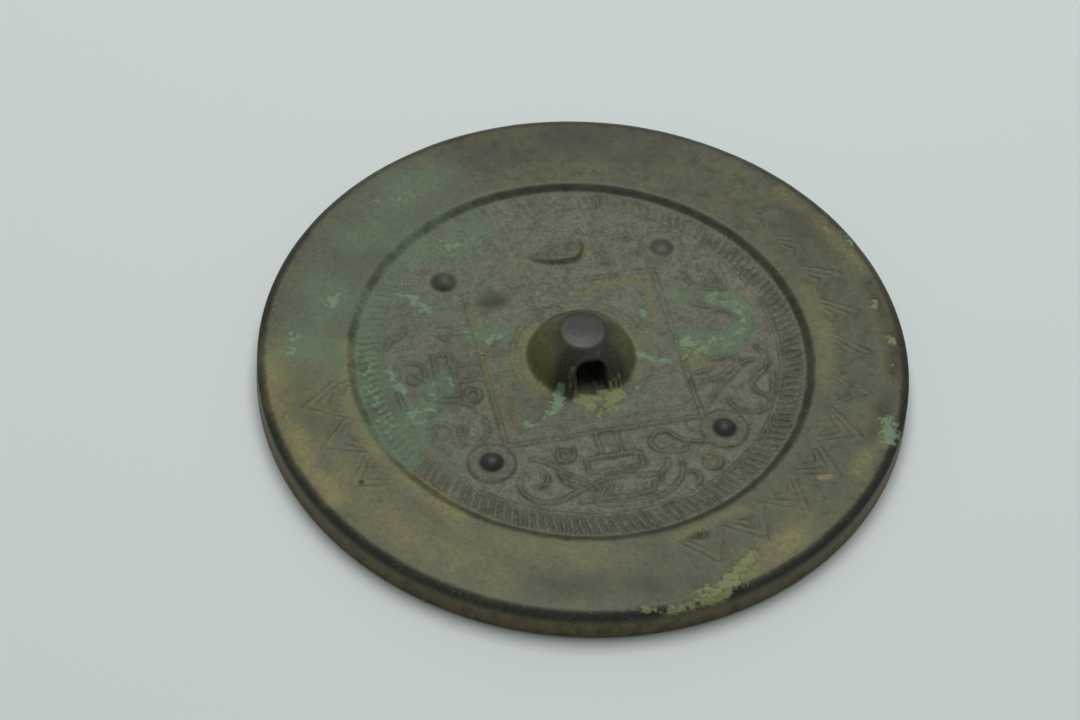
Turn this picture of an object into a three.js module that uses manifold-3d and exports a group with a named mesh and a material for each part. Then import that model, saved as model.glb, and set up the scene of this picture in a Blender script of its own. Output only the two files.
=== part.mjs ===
// Ancient Chinese bronze mirror, lying on its reflecting face with the cast back up.
//
// One casting. A thick disc with a broad raised rim, and inside the rim a sunken field that
// carries a pierced knob, a square, four bosses, a band of comb teeth and thread-like reliefs
// of winding beasts. Millimetres, +Z up, origin at the centre of the underside. The square's
// sides lie along X and Y, and the cord hole of the knob runs along Y.
import * as THREE from 'three';
import { mergeGeometries, mergeVertices } from 'three/addons/utils/BufferGeometryUtils.js';
import Module from 'manifold-3d';

// ---------------------------------------------------------------- driving dimensions

const RADIUS = 55;              // disc, half of 110 mm
const RIM_TOP = 5.45;           // flat top of the rim over the underside
const FIELD_FLOOR = 4.33;       // sunken ground of the field over the underside
const DISC_SEGMENTS = 108;

const SIDE_LEAN = 0.23;         // the side draws in by this much up to its crisp edge
const CRISP_EDGE = 4.72;        // height of that edge
const BEVEL_WIDTH = 1.6;        // burnished bevel between the crisp edge and the rim's top
const BEVEL_MID_DROP = 0.22;    // how far its middle lies below the rim's top
const FOOT_CHAMFER = 0.3;       // worn lower edge

const FIELD_CENTRE = [-0.55, -0.45];  // the field was moulded a little off the disc's centre
const FIELD_RADIUS = 37.7;      // foot of the slope that rises to the rim
const SLOPE_WIDTH = 1.75;       // width of that slope

const KNOB_RADIUS = 9.2;
const KNOB_HEIGHT = 6.9;        // over the field
const KNOB_CROWN_RADIUS = 3.8;  // flattened top
const KNOB_CROWN_RISE = 0.3;    // how far the top swells above its edge
const KNOB_BULGE = 22;          // degrees that the side's arc turns from its chord at each end
const KNOB_SEGMENTS = 44;

const HOLE_HALF_WIDTH = 2.8;    // cord hole, an arch with round shoulders
const HOLE_HEIGHT = 5.2;
const HOLE_SHOULDER = 2.0;

const THREAD = 0.7;             // width of the thread-like relief lines
const THREAD_HEIGHT = 0.32;
const THREAD_STEP = 2.4;        // length of one facet along a curved line
const SEAT = 0.4;               // how deep every relief is set into the ground below it

const SQUARE_HALF = 16.6;       // square round the knob, outer line, to the line's middle
const SQUARE_HEIGHT = 0.3;
const SQUARE_INNER_HALF = 14.1; // its fainter inner line
const SQUARE_INNER_WIDTH = 0.5;
const SQUARE_INNER_HEIGHT = 0.14;
const KNOB_RING_RADIUS = 11.6;  // line circle round the knob
const KNOB_RING_WIDTH = 0.9;
const KNOB_RING_HEIGHT = 0.22;

const COMB_INNER = 34.5;        // band of comb teeth just inside the rim
const COMB_OUTER = 37.2;
const COMB_TEETH = 160;
const COMB_TOOTH_HALF_FOOT = 0.6;  // half width of its gable, down in the ground
const COMB_TOOTH_HEIGHT = 0.32;
const COMB_SLANT = 17;          // degrees that a tooth leans from the radius
const COMB_CIRCLE_RADIUS = 33.7;  // line circle inside the band
const COMB_CIRCLE_WIDTH = 0.6;
const COMB_CIRCLE_HEIGHT = 0.28;

const BOSS_NUB_RADIUS = 2.1;
const BOSS_NUB_HEIGHT = 1.35;
const BOSS_PLATE_RADIUS = 3.95; // flat round plate that the nub stands on
const BOSS_PLATE_DRAFT = 0.15;  // how far the plate's edge draws in to its top

const FEATHER_WIDTH = 0.5;      // short strokes on the body of the lower beast
const FEATHER_HEIGHT = 0.25;
const STEM_HEIGHT = 0.22;       // the two lines of a T's stem
const LEDGE_HEIGHT = 0.75;      // casting flaw above the square

const ZIGZAG_TRIANGLES = 33;    // saw-tooth band on the rim, as if it ran all the way round
const ZIGZAG_INNER = 42.6;
const ZIGZAG_OUTER = 48.6;
const ZIGZAG_WIDTH = 0.5;
const ZIGZAG_HEIGHT = 0.16;
const ZIGZAG_INSET = 1.5;       // degrees between each triangle and the line inside it
const ZIGZAG_APEX_INSET = 2.4;  // the same at its apex
const ZIGZAG_GAP = 0.1;         // degrees between a triangle's foot and the middle of the gap
const ZIGZAG_PHASE = -1.2;      // degrees, azimuth of one apex
const ZIGZAG_KEPT = [[-80, 34], [184, 214]];  // degrees of azimuth where wear has spared it

// The patinated metal.
const BRONZE = { color: 0x5f5a45, roughness: 0.55, metalness: 0.6 };

// ---------------------------------------------------------------- solids and how they join

const wasm = await Module();
wasm.setup();

// A closed three.js geometry as a solid: vertices shared, zero-area triangles left out.
function solid(geometry) {
  const bare = geometry.clone();
  bare.deleteAttribute('normal');
  bare.deleteAttribute('uv');
  const merged = mergeVertices(bare, 1e-4);
  const index = merged.index.array;
  const triangles = [];
  for (let i = 0; i < index.length; i += 3) {
    const [a, b, c] = index.slice(i, i + 3);
    if (a !== b && b !== c && c !== a) {
      triangles.push(a, b, c);
    }
  }
  return new wasm.Manifold(new wasm.Mesh({
    numProp: 3,
    vertProperties: new Float32Array(merged.attributes.position.array),
    triVerts: new Uint32Array(triangles),
  }));
}

function geometryOf(manifold) {
  const mesh = manifold.getMesh();
  const geometry = new THREE.BufferGeometry();
  geometry.setAttribute('position', new THREE.BufferAttribute(mesh.vertProperties, 3));
  geometry.setIndex(new THREE.BufferAttribute(mesh.triVerts, 1));
  return geometry;
}

// Turns a profile of [radius, height] pairs about the Z axis through [x, y].
function turned(profile, segments, [x, y] = [0, 0]) {
  const points = profile.map(([radius, height]) => new THREE.Vector2(radius, height));
  const geometry = new THREE.LatheGeometry(points, segments);
  geometry.rotateX(Math.PI / 2);
  geometry.translate(x, y, 0);
  return geometry;
}

// A flat outline raised from `bottom` to `top`.
function raised(shape, bottom, top) {
  const geometry = new THREE.ExtrudeGeometry(shape, { depth: top - bottom, bevelEnabled: false });
  geometry.translate(0, 0, bottom);
  return geometry;
}

// ---------------------------------------------------------------- relief on the ground

const GROUND = FIELD_FLOOR;

// Low ridge along a smooth line through the given points, seated on the field.
function thread(points, width = THREAD, height = THREAD_HEIGHT) {
  const line = points.map(([x, y]) => new THREE.Vector3(x, y, 0));
  const curve = new THREE.CatmullRomCurve3(line, false, 'centripetal');
  const section = new THREE.Shape();  // first coordinate points down, second across the line
  section.moveTo(SEAT, -width / 2);
  section.lineTo(SEAT, width / 2);
  section.lineTo(-height, width / 4);
  section.lineTo(-height, -width / 4);
  section.closePath();
  const steps = Math.max(1, Math.ceil(curve.getLength() / THREAD_STEP));
  const geometry = new THREE.ExtrudeGeometry(section, { steps, extrudePath: curve });
  geometry.translate(0, 0, GROUND);
  return geometry;
}

// Points of a spiral about [x, y], from radius `start` to `end`, turning anticlockwise from the
// azimuth `from` through `sweep` degrees.
function curl([x, y], start, end, from, sweep) {
  const count = Math.max(5, Math.ceil(Math.abs(sweep) / 55));
  const points = [];
  for (let i = 0; i <= count; i += 1) {
    const t = i / count;
    const angle = THREE.MathUtils.degToRad(from + sweep * t);
    const radius = start + (end - start) * t;
    points.push([x + radius * Math.cos(angle), y + radius * Math.sin(angle)]);
  }
  return points;
}

// Rectangular line frame between two corners, measured to its outer edge.
function frame([x0, y0], [x1, y1], width = THREAD, height = THREAD_HEIGHT) {
  const outline = new THREE.Shape();
  outline.moveTo(x0, y0).lineTo(x1, y0).lineTo(x1, y1).lineTo(x0, y1).closePath();
  const inside = new THREE.Path();
  inside.moveTo(x0 + width, y0 + width).lineTo(x0 + width, y1 - width);
  inside.lineTo(x1 - width, y1 - width).lineTo(x1 - width, y0 + width).closePath();
  outline.holes.push(inside);
  return raised(outline, GROUND - SEAT, GROUND + height);
}

function squareFrame(half, width, height) {
  const reach = half + width / 2;
  return frame([-reach, -reach], [reach, reach], width, height);
}

// Low ring about the knob's axis, radius to its middle.
function ring(radius, width, height, segments) {
  const profile = [
    [radius - width / 2, GROUND - SEAT],
    [radius + width / 2, GROUND - SEAT],
    [radius + width / 6, GROUND + height],
    [radius - width / 6, GROUND + height],
    [radius - width / 2, GROUND - SEAT],
  ];
  return turned(profile, segments);
}

// ---------------------------------------------------------------- the ornament of the field

// Four bosses at the corners of the square: the height of each plate, and of each nub as a
// share of a whole one. Wear and poor casting have taken one plate and most of another.
const BOSSES = [
  { at: [-19.7, -19.6], plate: 0.3, nub: 1 },
  { at: [19.5, -20.0], plate: 0.3, nub: 1 },
  { at: [19.5, 21.2], plate: 0.14, nub: 0.55 },
  { at: [-19.4, 20.5], plate: 0, nub: 0.9 },
];

function boss({ at, plate, nub }) {
  const height = BOSS_NUB_HEIGHT * nub;
  const dome = [[0, GROUND - SEAT], [BOSS_NUB_RADIUS, GROUND - SEAT], [BOSS_NUB_RADIUS, GROUND]];
  for (const degrees of [30, 60]) {
    const angle = THREE.MathUtils.degToRad(degrees);
    dome.push([BOSS_NUB_RADIUS * Math.cos(angle), GROUND + height * Math.sin(angle)]);
  }
  dome.push([0, GROUND + height]);
  const pieces = [turned(dome, 16, at)];
  if (plate > 0) {
    pieces.push(turned([
      [0, GROUND - SEAT],
      [BOSS_PLATE_RADIUS, GROUND - SEAT],
      [BOSS_PLATE_RADIUS, GROUND],
      [BOSS_PLATE_RADIUS - BOSS_PLATE_DRAFT, GROUND + plate],
      [0, GROUND + plate],
    ], 28, at));
  }
  return pieces;
}

// A T standing on a side of the square: a frame for its foot and two lines for its stem.
const T_FOOT = { half: 4.9, near: 21.5, far: 25.1 };
const T_STEM_HALF = 1.7;

function letterT(quarterTurns) {
  const { half, near, far } = T_FOOT;
  const pieces = [frame([-half, -far], [half, -near])];
  for (const x of [-T_STEM_HALF, T_STEM_HALF]) {
    pieces.push(thread([[x, -near + THREAD], [x, -SQUARE_HALF]], THREAD, STEM_HEIGHT));
  }
  for (const piece of pieces) {
    piece.rotateZ(-quarterTurns * Math.PI / 2);
  }
  return pieces;
}

// Bird-headed beast below the square, head towards +X.
const LOWER_BEAST = [
  [[-13.6, -26.0], [-11.7, -25.4], [-11.6, -23.2], [-13.6, -22.1], [-15.7, -23.4],
    [-16.1, -26.4], [-13.9, -28.8], [-10.6, -29.2], [-6.0, -27.6], [-0.5, -26.2], [6.0, -26.8]],
  [[-13.2, -19.8], [-10.4, -21.6], [-8.0, -24.3], [-5.4, -26.0]],
  [[-9.6, -23.9], [-8.5, -26.1], [-6.6, -27.2]],
  [[-7.6, -30.1], [-2.0, -30.3], [2.6, -30.4], [5.0, -29.7], [5.5, -28.2]],
  [[-4.8, -31.2], [1.5, -32.0], [6.6, -31.0], [9.6, -28.8], [10.7, -26.4], [10.8, -24.0]],
  [[6.6, -28.8], [6.9, -26.9], [8.3, -25.7], [8.7, -24.0]],
  [[11.3, -27.3], [12.7, -28.0], [12.9, -29.2], [12.2, -30.2]],
  [[8.2, -18.6], [10.0, -18.6], [11.4, -20.3], [13.2, -21.4], [15.9, -21.9]],
  [[9.4, -22.3], [10.8, -23.0], [12.2, -22.8], [12.4, -21.9]],
  curl([8.7, -20.6], 1.9, 1.9, 120, 200),
  curl([-7.7, -20.2], 0.7, 1.8, -10, 400),
  curl([15.6, -26.2], 0.7, 1.9, 40, 400),
];

// Beast on the left of the square, winding round the T.
const LEFT_BEAST = [
  [[-27.3, -2.6], [-26.9, -4.6], [-25.2, -5.4], [-22.6, -5.8], [-20.2, -7.3]],
  [[-25.6, -6.4], [-26.2, -7.3], [-28.0, -8.2]],
  [[-28.4, -10.4], [-26.4, -9.8], [-24.7, -10.9], [-24.6, -13.4], [-24.0, -15.2]],
  [[-28.0, -14.0], [-27.8, -12.2], [-27.0, -10.8]],
  [[-24.0, -15.2], [-22.6, -14.3], [-21.3, -15.2], [-19.4, -14.1], [-18.7, -12.0], [-19.1, -10.3]],
  [[-28.0, -14.0], [-26.8, -14.9], [-25.9, -16.2]],
  [[-31.0, 3.4], [-31.4, 0.0], [-31.8, -3.0], [-31.4, -6.0]],
  [[-28.8, 3.8], [-27.0, 3.1], [-26.6, 1.4], [-26.8, -0.6]],
  [[-30.6, 9.2], [-28.9, 9.8], [-27.9, 11.2], [-28.4, 12.8]],
  [[-31.8, 7.6], [-30.2, 10.6]],
  [[-23.4, 9.4], [-21.4, 7.5]],
  [[-20.9, 8.9], [-18.7, 8.8]],
  curl([-19.8, -4.9], 1.0, 1.6, 170, -330),
  curl([-23.4, -11.9], 0.8, 1.0, 90, 300),
  curl([-28.6, 0.2], 0.8, 1.0, 0, 290),
];

// Beast on the right of the square.
const RIGHT_BEAST = [
  [[18.3, -14.2], [21.2, -11.0], [24.4, -8.6], [26.4, -6.7], [28.4, -6.3]],
  [[25.5, -4.4], [25.6, -6.0], [23.4, -8.0], [20.8, -9.6]],
  [[29.4, -3.6], [30.3, -5.6], [30.3, -7.9], [28.4, -9.7], [26.5, -11.3], [26.9, -13.0],
    [28.2, -14.4]],
  [[21.9, -14.0], [22.3, -15.8], [24.4, -17.2], [27.2, -17.2], [28.9, -15.4], [30.0, -12.6],
    [30.7, -10.0]],
  [[18.0, -7.4], [20.4, -7.2]],
  [[18.8, -9.4], [20.6, -9.3]],
  [[23.6, 8.9], [26.6, 8.3], [29.0, 6.2], [30.1, 3.4], [29.6, 0.4], [28.2, -1.6]],
  [[24.8, 5.6], [26.8, 4.9], [27.9, 3.0], [27.3, 0.8]],
  [[21.8, 15.6], [22.0, 13.2], [23.2, 11.2], [25.2, 10.3], [28.0, 10.0]],
  [[26.5, 14.0], [26.6, 11.6]],
  [[27.9, 13.4], [28.1, 11.4]],
  [[20.4, 9.9], [20.9, 8.2], [22.4, 7.0], [24.0, 6.6]],
  [[20.8, -5.0], [24.6, -5.0]],
];

// What wear has left above the square.
const UPPER_BEAST = [
  curl([8.7, 20.7], 1.5, 1.7, 60, 300),
  curl([13.6, 20.4], 1.0, 1.7, -60, 330),
  curl([9.2, 25.4], 1.2, 1.2, 0, 270),
  [[12.6, 23.9], [14.6, 24.7]],
];

// Feathering on the body of the lower beast: short slanted strokes side by side.
function feathers() {
  const strokes = [];
  for (const x of [-4.8, -3.5, -2.2, -0.9]) {
    strokes.push(thread([[x, -29.2], [x + 1.0, -27.7]], FEATHER_WIDTH, FEATHER_HEIGHT));
  }
  return strokes;
}

// Casting flaw above the square: a smooth lump with a steep curved face towards the knob,
// where the metal broke through the mould over the foot of the upper T.
function ledge() {
  const outline = new THREE.Shape();
  outline.moveTo(-5.2, 27.2);
  outline.quadraticCurveTo(-5.0, 24.2, -3.3, 22.7);
  outline.quadraticCurveTo(-1.2, 21.0, 2.1, 20.9);
  outline.quadraticCurveTo(4.9, 21.0, 5.6, 22.6);
  outline.quadraticCurveTo(6.3, 24.4, 5.9, 26.4);
  outline.closePath();
  return raised(outline, GROUND - SEAT, GROUND + LEDGE_HEIGHT);
}

// ---------------------------------------------------------------- bands

// All teeth of the comb in one geometry, each a little gable: none of them touches another.
function comb() {
  const gable = new THREE.Shape();
  gable.moveTo(-COMB_TOOTH_HALF_FOOT, -SEAT);
  gable.lineTo(COMB_TOOTH_HALF_FOOT, -SEAT);
  gable.lineTo(0, COMB_TOOTH_HEIGHT);
  gable.closePath();
  const length = COMB_OUTER - COMB_INNER;
  const teeth = [];
  for (let i = 0; i < COMB_TEETH; i += 1) {
    const tooth = new THREE.ExtrudeGeometry(gable, { depth: length, bevelEnabled: false });
    tooth.translate(0, 0, -length / 2);
    tooth.rotateX(Math.PI / 2);
    tooth.rotateZ(Math.PI / 2 + THREE.MathUtils.degToRad(COMB_SLANT));
    tooth.translate((COMB_INNER + COMB_OUTER) / 2, 0, GROUND);
    tooth.rotateZ(i * 2 * Math.PI / COMB_TEETH);
    teeth.push(tooth);
  }
  return mergeGeometries(teeth);
}

function onRim(radius, degrees) {
  const angle = THREE.MathUtils.degToRad(degrees);
  return [radius * Math.cos(angle), radius * Math.sin(angle)];
}

// One triangle of the saw-tooth band as a raised line: two sides that meet in an apex, open
// at the base.
function chevron(azimuth, halfPitch, inset) {
  const outer = ZIGZAG_OUTER - (inset > 0 ? ZIGZAG_APEX_INSET : 0);
  const [ax, ay] = onRim(outer, azimuth);
  const [bx, by] = onRim(outer - ZIGZAG_WIDTH * 2, azimuth);
  const reach = halfPitch - inset;
  const thickness = THREE.MathUtils.radToDeg(ZIGZAG_WIDTH / ZIGZAG_INNER);
  const outline = new THREE.Shape();
  outline.moveTo(...onRim(ZIGZAG_INNER, azimuth - reach));
  outline.lineTo(...onRim(ZIGZAG_INNER, azimuth - reach + thickness));
  outline.lineTo(bx, by);
  outline.lineTo(...onRim(ZIGZAG_INNER, azimuth + reach - thickness));
  outline.lineTo(...onRim(ZIGZAG_INNER, azimuth + reach));
  outline.lineTo(ax, ay);
  outline.closePath();
  return raised(outline, RIM_TOP - SEAT, RIM_TOP + ZIGZAG_HEIGHT);
}

function zigzag() {
  const pitch = 360 / ZIGZAG_TRIANGLES;
  const chevrons = [];
  for (const [from, to] of ZIGZAG_KEPT) {
    const first = Math.ceil((from - ZIGZAG_PHASE) / pitch);
    const last = Math.floor((to - ZIGZAG_PHASE) / pitch);
    for (let i = first; i <= last; i += 1) {
      const azimuth = ZIGZAG_PHASE + i * pitch;
      chevrons.push(chevron(azimuth, pitch / 2 - ZIGZAG_GAP, 0));
      chevrons.push(chevron(azimuth, pitch / 2, ZIGZAG_INSET));
    }
  }
  return mergeGeometries(chevrons);
}

// ---------------------------------------------------------------- disc and knob

function disc() {
  return turned([
    [0, 0],
    [RADIUS - FOOT_CHAMFER, 0],
    [RADIUS, FOOT_CHAMFER],
    [RADIUS - SIDE_LEAN, CRISP_EDGE],
    [RADIUS - SIDE_LEAN - BEVEL_WIDTH / 2, RIM_TOP - BEVEL_MID_DROP],
    [RADIUS - SIDE_LEAN - BEVEL_WIDTH, RIM_TOP],
    [0, RIM_TOP],
  ], DISC_SEGMENTS);
}

function recess() {
  const clear = RIM_TOP + 1;
  const top = FIELD_RADIUS + SLOPE_WIDTH;
  return turned([
    [0, FIELD_FLOOR],
    [FIELD_RADIUS, FIELD_FLOOR],
    [top, RIM_TOP],
    [top, clear],
    [0, clear],
  ], DISC_SEGMENTS);
}

// The knob's side is a circular arc from its foot to the edge of the flattened crown.
function knobProfile() {
  const foot = new THREE.Vector2(KNOB_RADIUS, GROUND);
  const shoulder = new THREE.Vector2(KNOB_CROWN_RADIUS, GROUND + KNOB_HEIGHT - KNOB_CROWN_RISE);
  const chord = shoulder.clone().sub(foot);
  const bulge = THREE.MathUtils.degToRad(KNOB_BULGE);
  const arcRadius = chord.length() / (2 * Math.sin(bulge));
  const toCentre = new THREE.Vector2(-chord.y, chord.x).normalize();
  const centre = foot.clone().addScaledVector(chord, 0.5);
  centre.addScaledVector(toCentre, arcRadius * Math.cos(bulge));
  const spoke = foot.clone().sub(centre);
  const profile = [[0, GROUND - SEAT], [KNOB_RADIUS, GROUND - SEAT]];
  const steps = 6;
  for (let i = 0; i <= steps; i += 1) {
    const point = spoke.clone().rotateAround(new THREE.Vector2(), 2 * bulge * i / steps);
    profile.push([centre.x + point.x, centre.y + point.y]);
  }
  profile.push([KNOB_CROWN_RADIUS / 2, GROUND + KNOB_HEIGHT - KNOB_CROWN_RISE * 0.25]);
  profile.push([0, GROUND + KNOB_HEIGHT]);
  return profile;
}

function cordHole() {
  const outline = new THREE.Shape();
  outline.moveTo(-HOLE_HALF_WIDTH, -SEAT / 2);
  outline.lineTo(HOLE_HALF_WIDTH, -SEAT / 2);
  outline.lineTo(HOLE_HALF_WIDTH, HOLE_HEIGHT - HOLE_SHOULDER);
  outline.absarc(HOLE_HALF_WIDTH - HOLE_SHOULDER, HOLE_HEIGHT - HOLE_SHOULDER, HOLE_SHOULDER,
    0, Math.PI / 2, false);
  outline.absarc(HOLE_SHOULDER - HOLE_HALF_WIDTH, HOLE_HEIGHT - HOLE_SHOULDER, HOLE_SHOULDER,
    Math.PI / 2, Math.PI, false);
  outline.closePath();
  const length = 2 * KNOB_RADIUS + 2;
  const settings = { depth: length, bevelEnabled: false, curveSegments: 5 };
  const geometry = new THREE.ExtrudeGeometry(outline, settings);
  geometry.rotateX(Math.PI / 2);
  geometry.translate(0, length / 2, GROUND);
  return geometry;
}

// ---------------------------------------------------------------- the whole casting

function mirror() {
  const [x, y] = FIELD_CENTRE;
  const reliefs = [
    squareFrame(SQUARE_HALF, THREAD, SQUARE_HEIGHT),
    squareFrame(SQUARE_INNER_HALF, SQUARE_INNER_WIDTH, SQUARE_INNER_HEIGHT),
    ring(KNOB_RING_RADIUS, KNOB_RING_WIDTH, KNOB_RING_HEIGHT, 48),
    ring(COMB_CIRCLE_RADIUS, COMB_CIRCLE_WIDTH, COMB_CIRCLE_HEIGHT, 60),
    comb(),
    ...BOSSES.flatMap(boss),
    ...letterT(0),
    ...letterT(1),
    ...[...LOWER_BEAST, ...LEFT_BEAST, ...RIGHT_BEAST, ...UPPER_BEAST].map((line) => thread(line)),
    ...feathers(),
    ledge(),
  ];
  let field = solid(turned(knobProfile(), KNOB_SEGMENTS)).subtract(solid(cordHole()));
  for (const relief of reliefs) {
    field = field.add(solid(relief));
  }
  const plate = solid(disc()).subtract(solid(recess()).translate([x, y, 0]));
  return plate.add(field.translate([x, y, 0])).add(solid(zigzag()));
}

const bronze = new THREE.MeshStandardMaterial(BRONZE);
const casting = new THREE.Mesh(geometryOf(mirror()), bronze);
casting.name = 'mirror';

const part = new THREE.Group();
part.name = 'ancient_bronze_mirror';
part.add(casting);

export default part;
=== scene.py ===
"""Looks of an ancient cast bronze mirror, lying on its reflecting face with the cast back up.

One casting: a turned disc with a broad rim and a sunken field, a pierced knob, and relief in
thin lines. Its mesh is spun, refined where the relief needs it, lifted by a relief map that is
drawn from strokes, and dressed in a patina with painted shade in the creases, on the recess
slope, in the cord hole and on the knob's front. Lengths are millimetres until the mesh is whole.
"""

import logging
import math
from dataclasses import dataclass, field
from enum import Enum
from typing import Any, Iterable, Sequence

import bmesh
import bpy
import numpy as np
from mathutils import Matrix, Vector


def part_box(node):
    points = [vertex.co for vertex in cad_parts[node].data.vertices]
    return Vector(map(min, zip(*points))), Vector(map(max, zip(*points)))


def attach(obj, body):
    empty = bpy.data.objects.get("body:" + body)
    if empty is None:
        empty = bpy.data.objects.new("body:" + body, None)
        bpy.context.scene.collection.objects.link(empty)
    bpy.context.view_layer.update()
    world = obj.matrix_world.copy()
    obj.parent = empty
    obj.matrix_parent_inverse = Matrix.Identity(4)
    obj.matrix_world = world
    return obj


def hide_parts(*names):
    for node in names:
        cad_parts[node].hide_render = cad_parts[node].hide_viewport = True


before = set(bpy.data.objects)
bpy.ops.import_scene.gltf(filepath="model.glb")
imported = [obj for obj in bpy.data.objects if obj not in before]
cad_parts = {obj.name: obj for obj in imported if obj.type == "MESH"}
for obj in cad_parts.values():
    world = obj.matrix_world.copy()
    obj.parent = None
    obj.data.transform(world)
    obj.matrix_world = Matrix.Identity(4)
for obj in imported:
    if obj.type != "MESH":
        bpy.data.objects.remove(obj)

LOG = logging.getLogger("mirror")
MM = 0.001
NODE = "mirror"
BODY = "root"
SEED = 243

Point = tuple[float, float]
Line = Sequence[Point]


# ------------------------------------------------------------------ small mathematics

def smoothstep(low: float, high: float, value: np.ndarray) -> np.ndarray:
    """Smooth rise from 0 at low to 1 at high.

    Args:
        low: Value where the rise starts.
        high: Value where it ends.
        value: Values to shape.

    Returns:
        The shaped values.
    """
    t = np.clip((value - low) / (high - low), 0.0, 1.0)
    return t * t * (3.0 - 2.0 * t)


def polar(radius: float, degrees: float, centre: Point = (0.0, 0.0)) -> Point:
    """Point at a radius and an azimuth about a centre.

    Args:
        radius: Distance from the centre.
        degrees: Azimuth, anticlockwise from +X.
        centre: The centre.

    Returns:
        The point.
    """
    angle = math.radians(degrees)
    return centre[0] + radius * math.cos(angle), centre[1] + radius * math.sin(angle)


def curl(centre: Point, start: float, end: float, azimuth: float, sweep: float) -> list[Point]:
    """Spiral about a centre.

    Args:
        centre: Middle of the spiral.
        start: Radius at its beginning.
        end: Radius at its end.
        azimuth: Degrees at its beginning.
        sweep: Degrees it turns through, anticlockwise.

    Returns:
        Points along the spiral.
    """
    count = max(5, math.ceil(abs(sweep) / 40))
    return [
        polar(start + (end - start) * i / count, azimuth + sweep * i / count, centre)
        for i in range(count + 1)
    ]


def smooth_line(points: Line, step: float = 0.4) -> np.ndarray:
    """Centripetal Catmull-Rom curve through points.

    Args:
        points: Points that the curve passes.
        step: Rough spacing of the samples.

    Returns:
        Samples along the curve, one row each.
    """
    given = np.array(points, float)
    if len(given) == 2:
        return given
    first = 2 * given[0] - given[1]
    last = 2 * given[-1] - given[-2]
    padded = np.vstack([first, given, last])
    samples = [given[:1]]
    for i in range(len(given) - 1):
        p0, p1, p2, p3 = padded[i:i + 4]
        knots = np.cumsum([0.0] + [
            max(math.sqrt(np.linalg.norm(b - a)), 1e-3)
            for a, b in ((p0, p1), (p1, p2), (p2, p3))
        ])
        count = max(2, math.ceil(np.linalg.norm(p2 - p1) / step))
        t = np.linspace(knots[1], knots[2], count + 1)[1:, None]
        t0, t1, t2, t3 = knots
        a1 = (t1 - t) / (t1 - t0) * p0 + (t - t0) / (t1 - t0) * p1
        a2 = (t2 - t) / (t2 - t1) * p1 + (t - t1) / (t2 - t1) * p2
        a3 = (t3 - t) / (t3 - t2) * p2 + (t - t2) / (t3 - t2) * p3
        b1 = (t2 - t) / (t2 - t0) * a1 + (t - t0) / (t2 - t0) * a2
        b2 = (t3 - t) / (t3 - t1) * a2 + (t - t1) / (t3 - t1) * a3
        samples.append((t2 - t) / (t2 - t1) * b1 + (t - t1) / (t2 - t1) * b2)
    return np.vstack(samples)


# ------------------------------------------------------------------ the turned form

@dataclass(frozen=True)
class Form:
    """Turned form of the casting: heights over the underside and radii."""

    radius: float
    rim_top: float = 5.45
    floor: float = 4.33
    side_lean: float = 0.23
    crisp_edge: float = 4.72
    bevel: float = 1.6
    foot: float = 0.3
    field_centre: Point = (-0.55, -0.45)
    slope_foot: float = 37.6
    slope_width: float = 1.95
    knob_radius: float = 9.2
    knob_height: float = 6.9
    crown_radius: float = 3.8
    crown_rise: float = 0.3
    bulge: float = 22.0
    hole_half: float = 2.8
    hole_height: float = 5.2
    hole_shoulder: float = 2.0

    @property
    def bevel_start(self) -> float:
        """Radius where the rim's flat top ends."""
        return self.radius - self.side_lean - self.bevel

    def field_radius(self, x: np.ndarray, y: np.ndarray) -> np.ndarray:
        """Distance from the middle of the field."""
        return np.hypot(x - self.field_centre[0], y - self.field_centre[1])

    def knob(self, radius: np.ndarray) -> np.ndarray:
        """Height of the knob over the field.

        Args:
            radius: Distances from the knob's axis.

        Returns:
            Heights, 0 outside the knob.
        """
        foot = np.array([self.knob_radius, 0.0])
        shoulder = np.array([self.crown_radius, self.knob_height - self.crown_rise])
        chord = shoulder - foot
        turn = math.radians(self.bulge)
        arc = np.linalg.norm(chord) / (2 * math.sin(turn))
        inward = np.array([-chord[1], chord[0]]) / np.linalg.norm(chord)
        centre = foot + chord / 2 + inward * arc * math.cos(turn)
        spoke = foot - centre
        angles = np.linspace(0.0, 2 * turn, 25)
        x = centre[0] + spoke[0] * np.cos(angles) - spoke[1] * np.sin(angles)
        z = centre[1] + spoke[0] * np.sin(angles) + spoke[1] * np.cos(angles)
        crown = np.linspace(self.crown_radius, 0.0, 12)[1:]
        x = np.concatenate([x, crown])
        z = np.concatenate([z, self.knob_height - self.crown_rise * (crown / x[24]) ** 2])
        return np.interp(radius, x[::-1], z[::-1], right=0.0)

    def top(self, x: np.ndarray, y: np.ndarray) -> np.ndarray:
        """Height of the cast back without its relief.

        Args:
            x: X of the places.
            y: Y of the places.

        Returns:
            Heights over the underside.
        """
        disc = np.hypot(x, y)
        inner = self.field_radius(x, y)
        rise = smoothstep(self.slope_foot, self.slope_foot + self.slope_width, inner)
        height = self.floor + (self.rim_top - self.floor) * rise + self.knob(inner)
        past = np.clip((disc - self.bevel_start) / self.bevel, 0.0, 1.0)
        return height - (self.rim_top - self.crisp_edge) * past ** 1.73

    def arch(self, x: np.ndarray, height: np.ndarray) -> np.ndarray:
        """Signed distance to the cord hole's arch, seen along the hole.

        Args:
            x: Distances across the hole from its middle.
            height: Heights over the field.

        Returns:
            Distances, negative inside the hole.
        """
        shoulder = self.hole_shoulder
        across = np.abs(x) - (self.hole_half - shoulder)
        above = height - (self.hole_height - shoulder)
        corner = np.hypot(np.maximum(across, 0), np.maximum(above, 0))
        return corner + np.minimum(np.maximum(across, above), 0) - shoulder


# ------------------------------------------------------------------ the relief map

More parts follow.
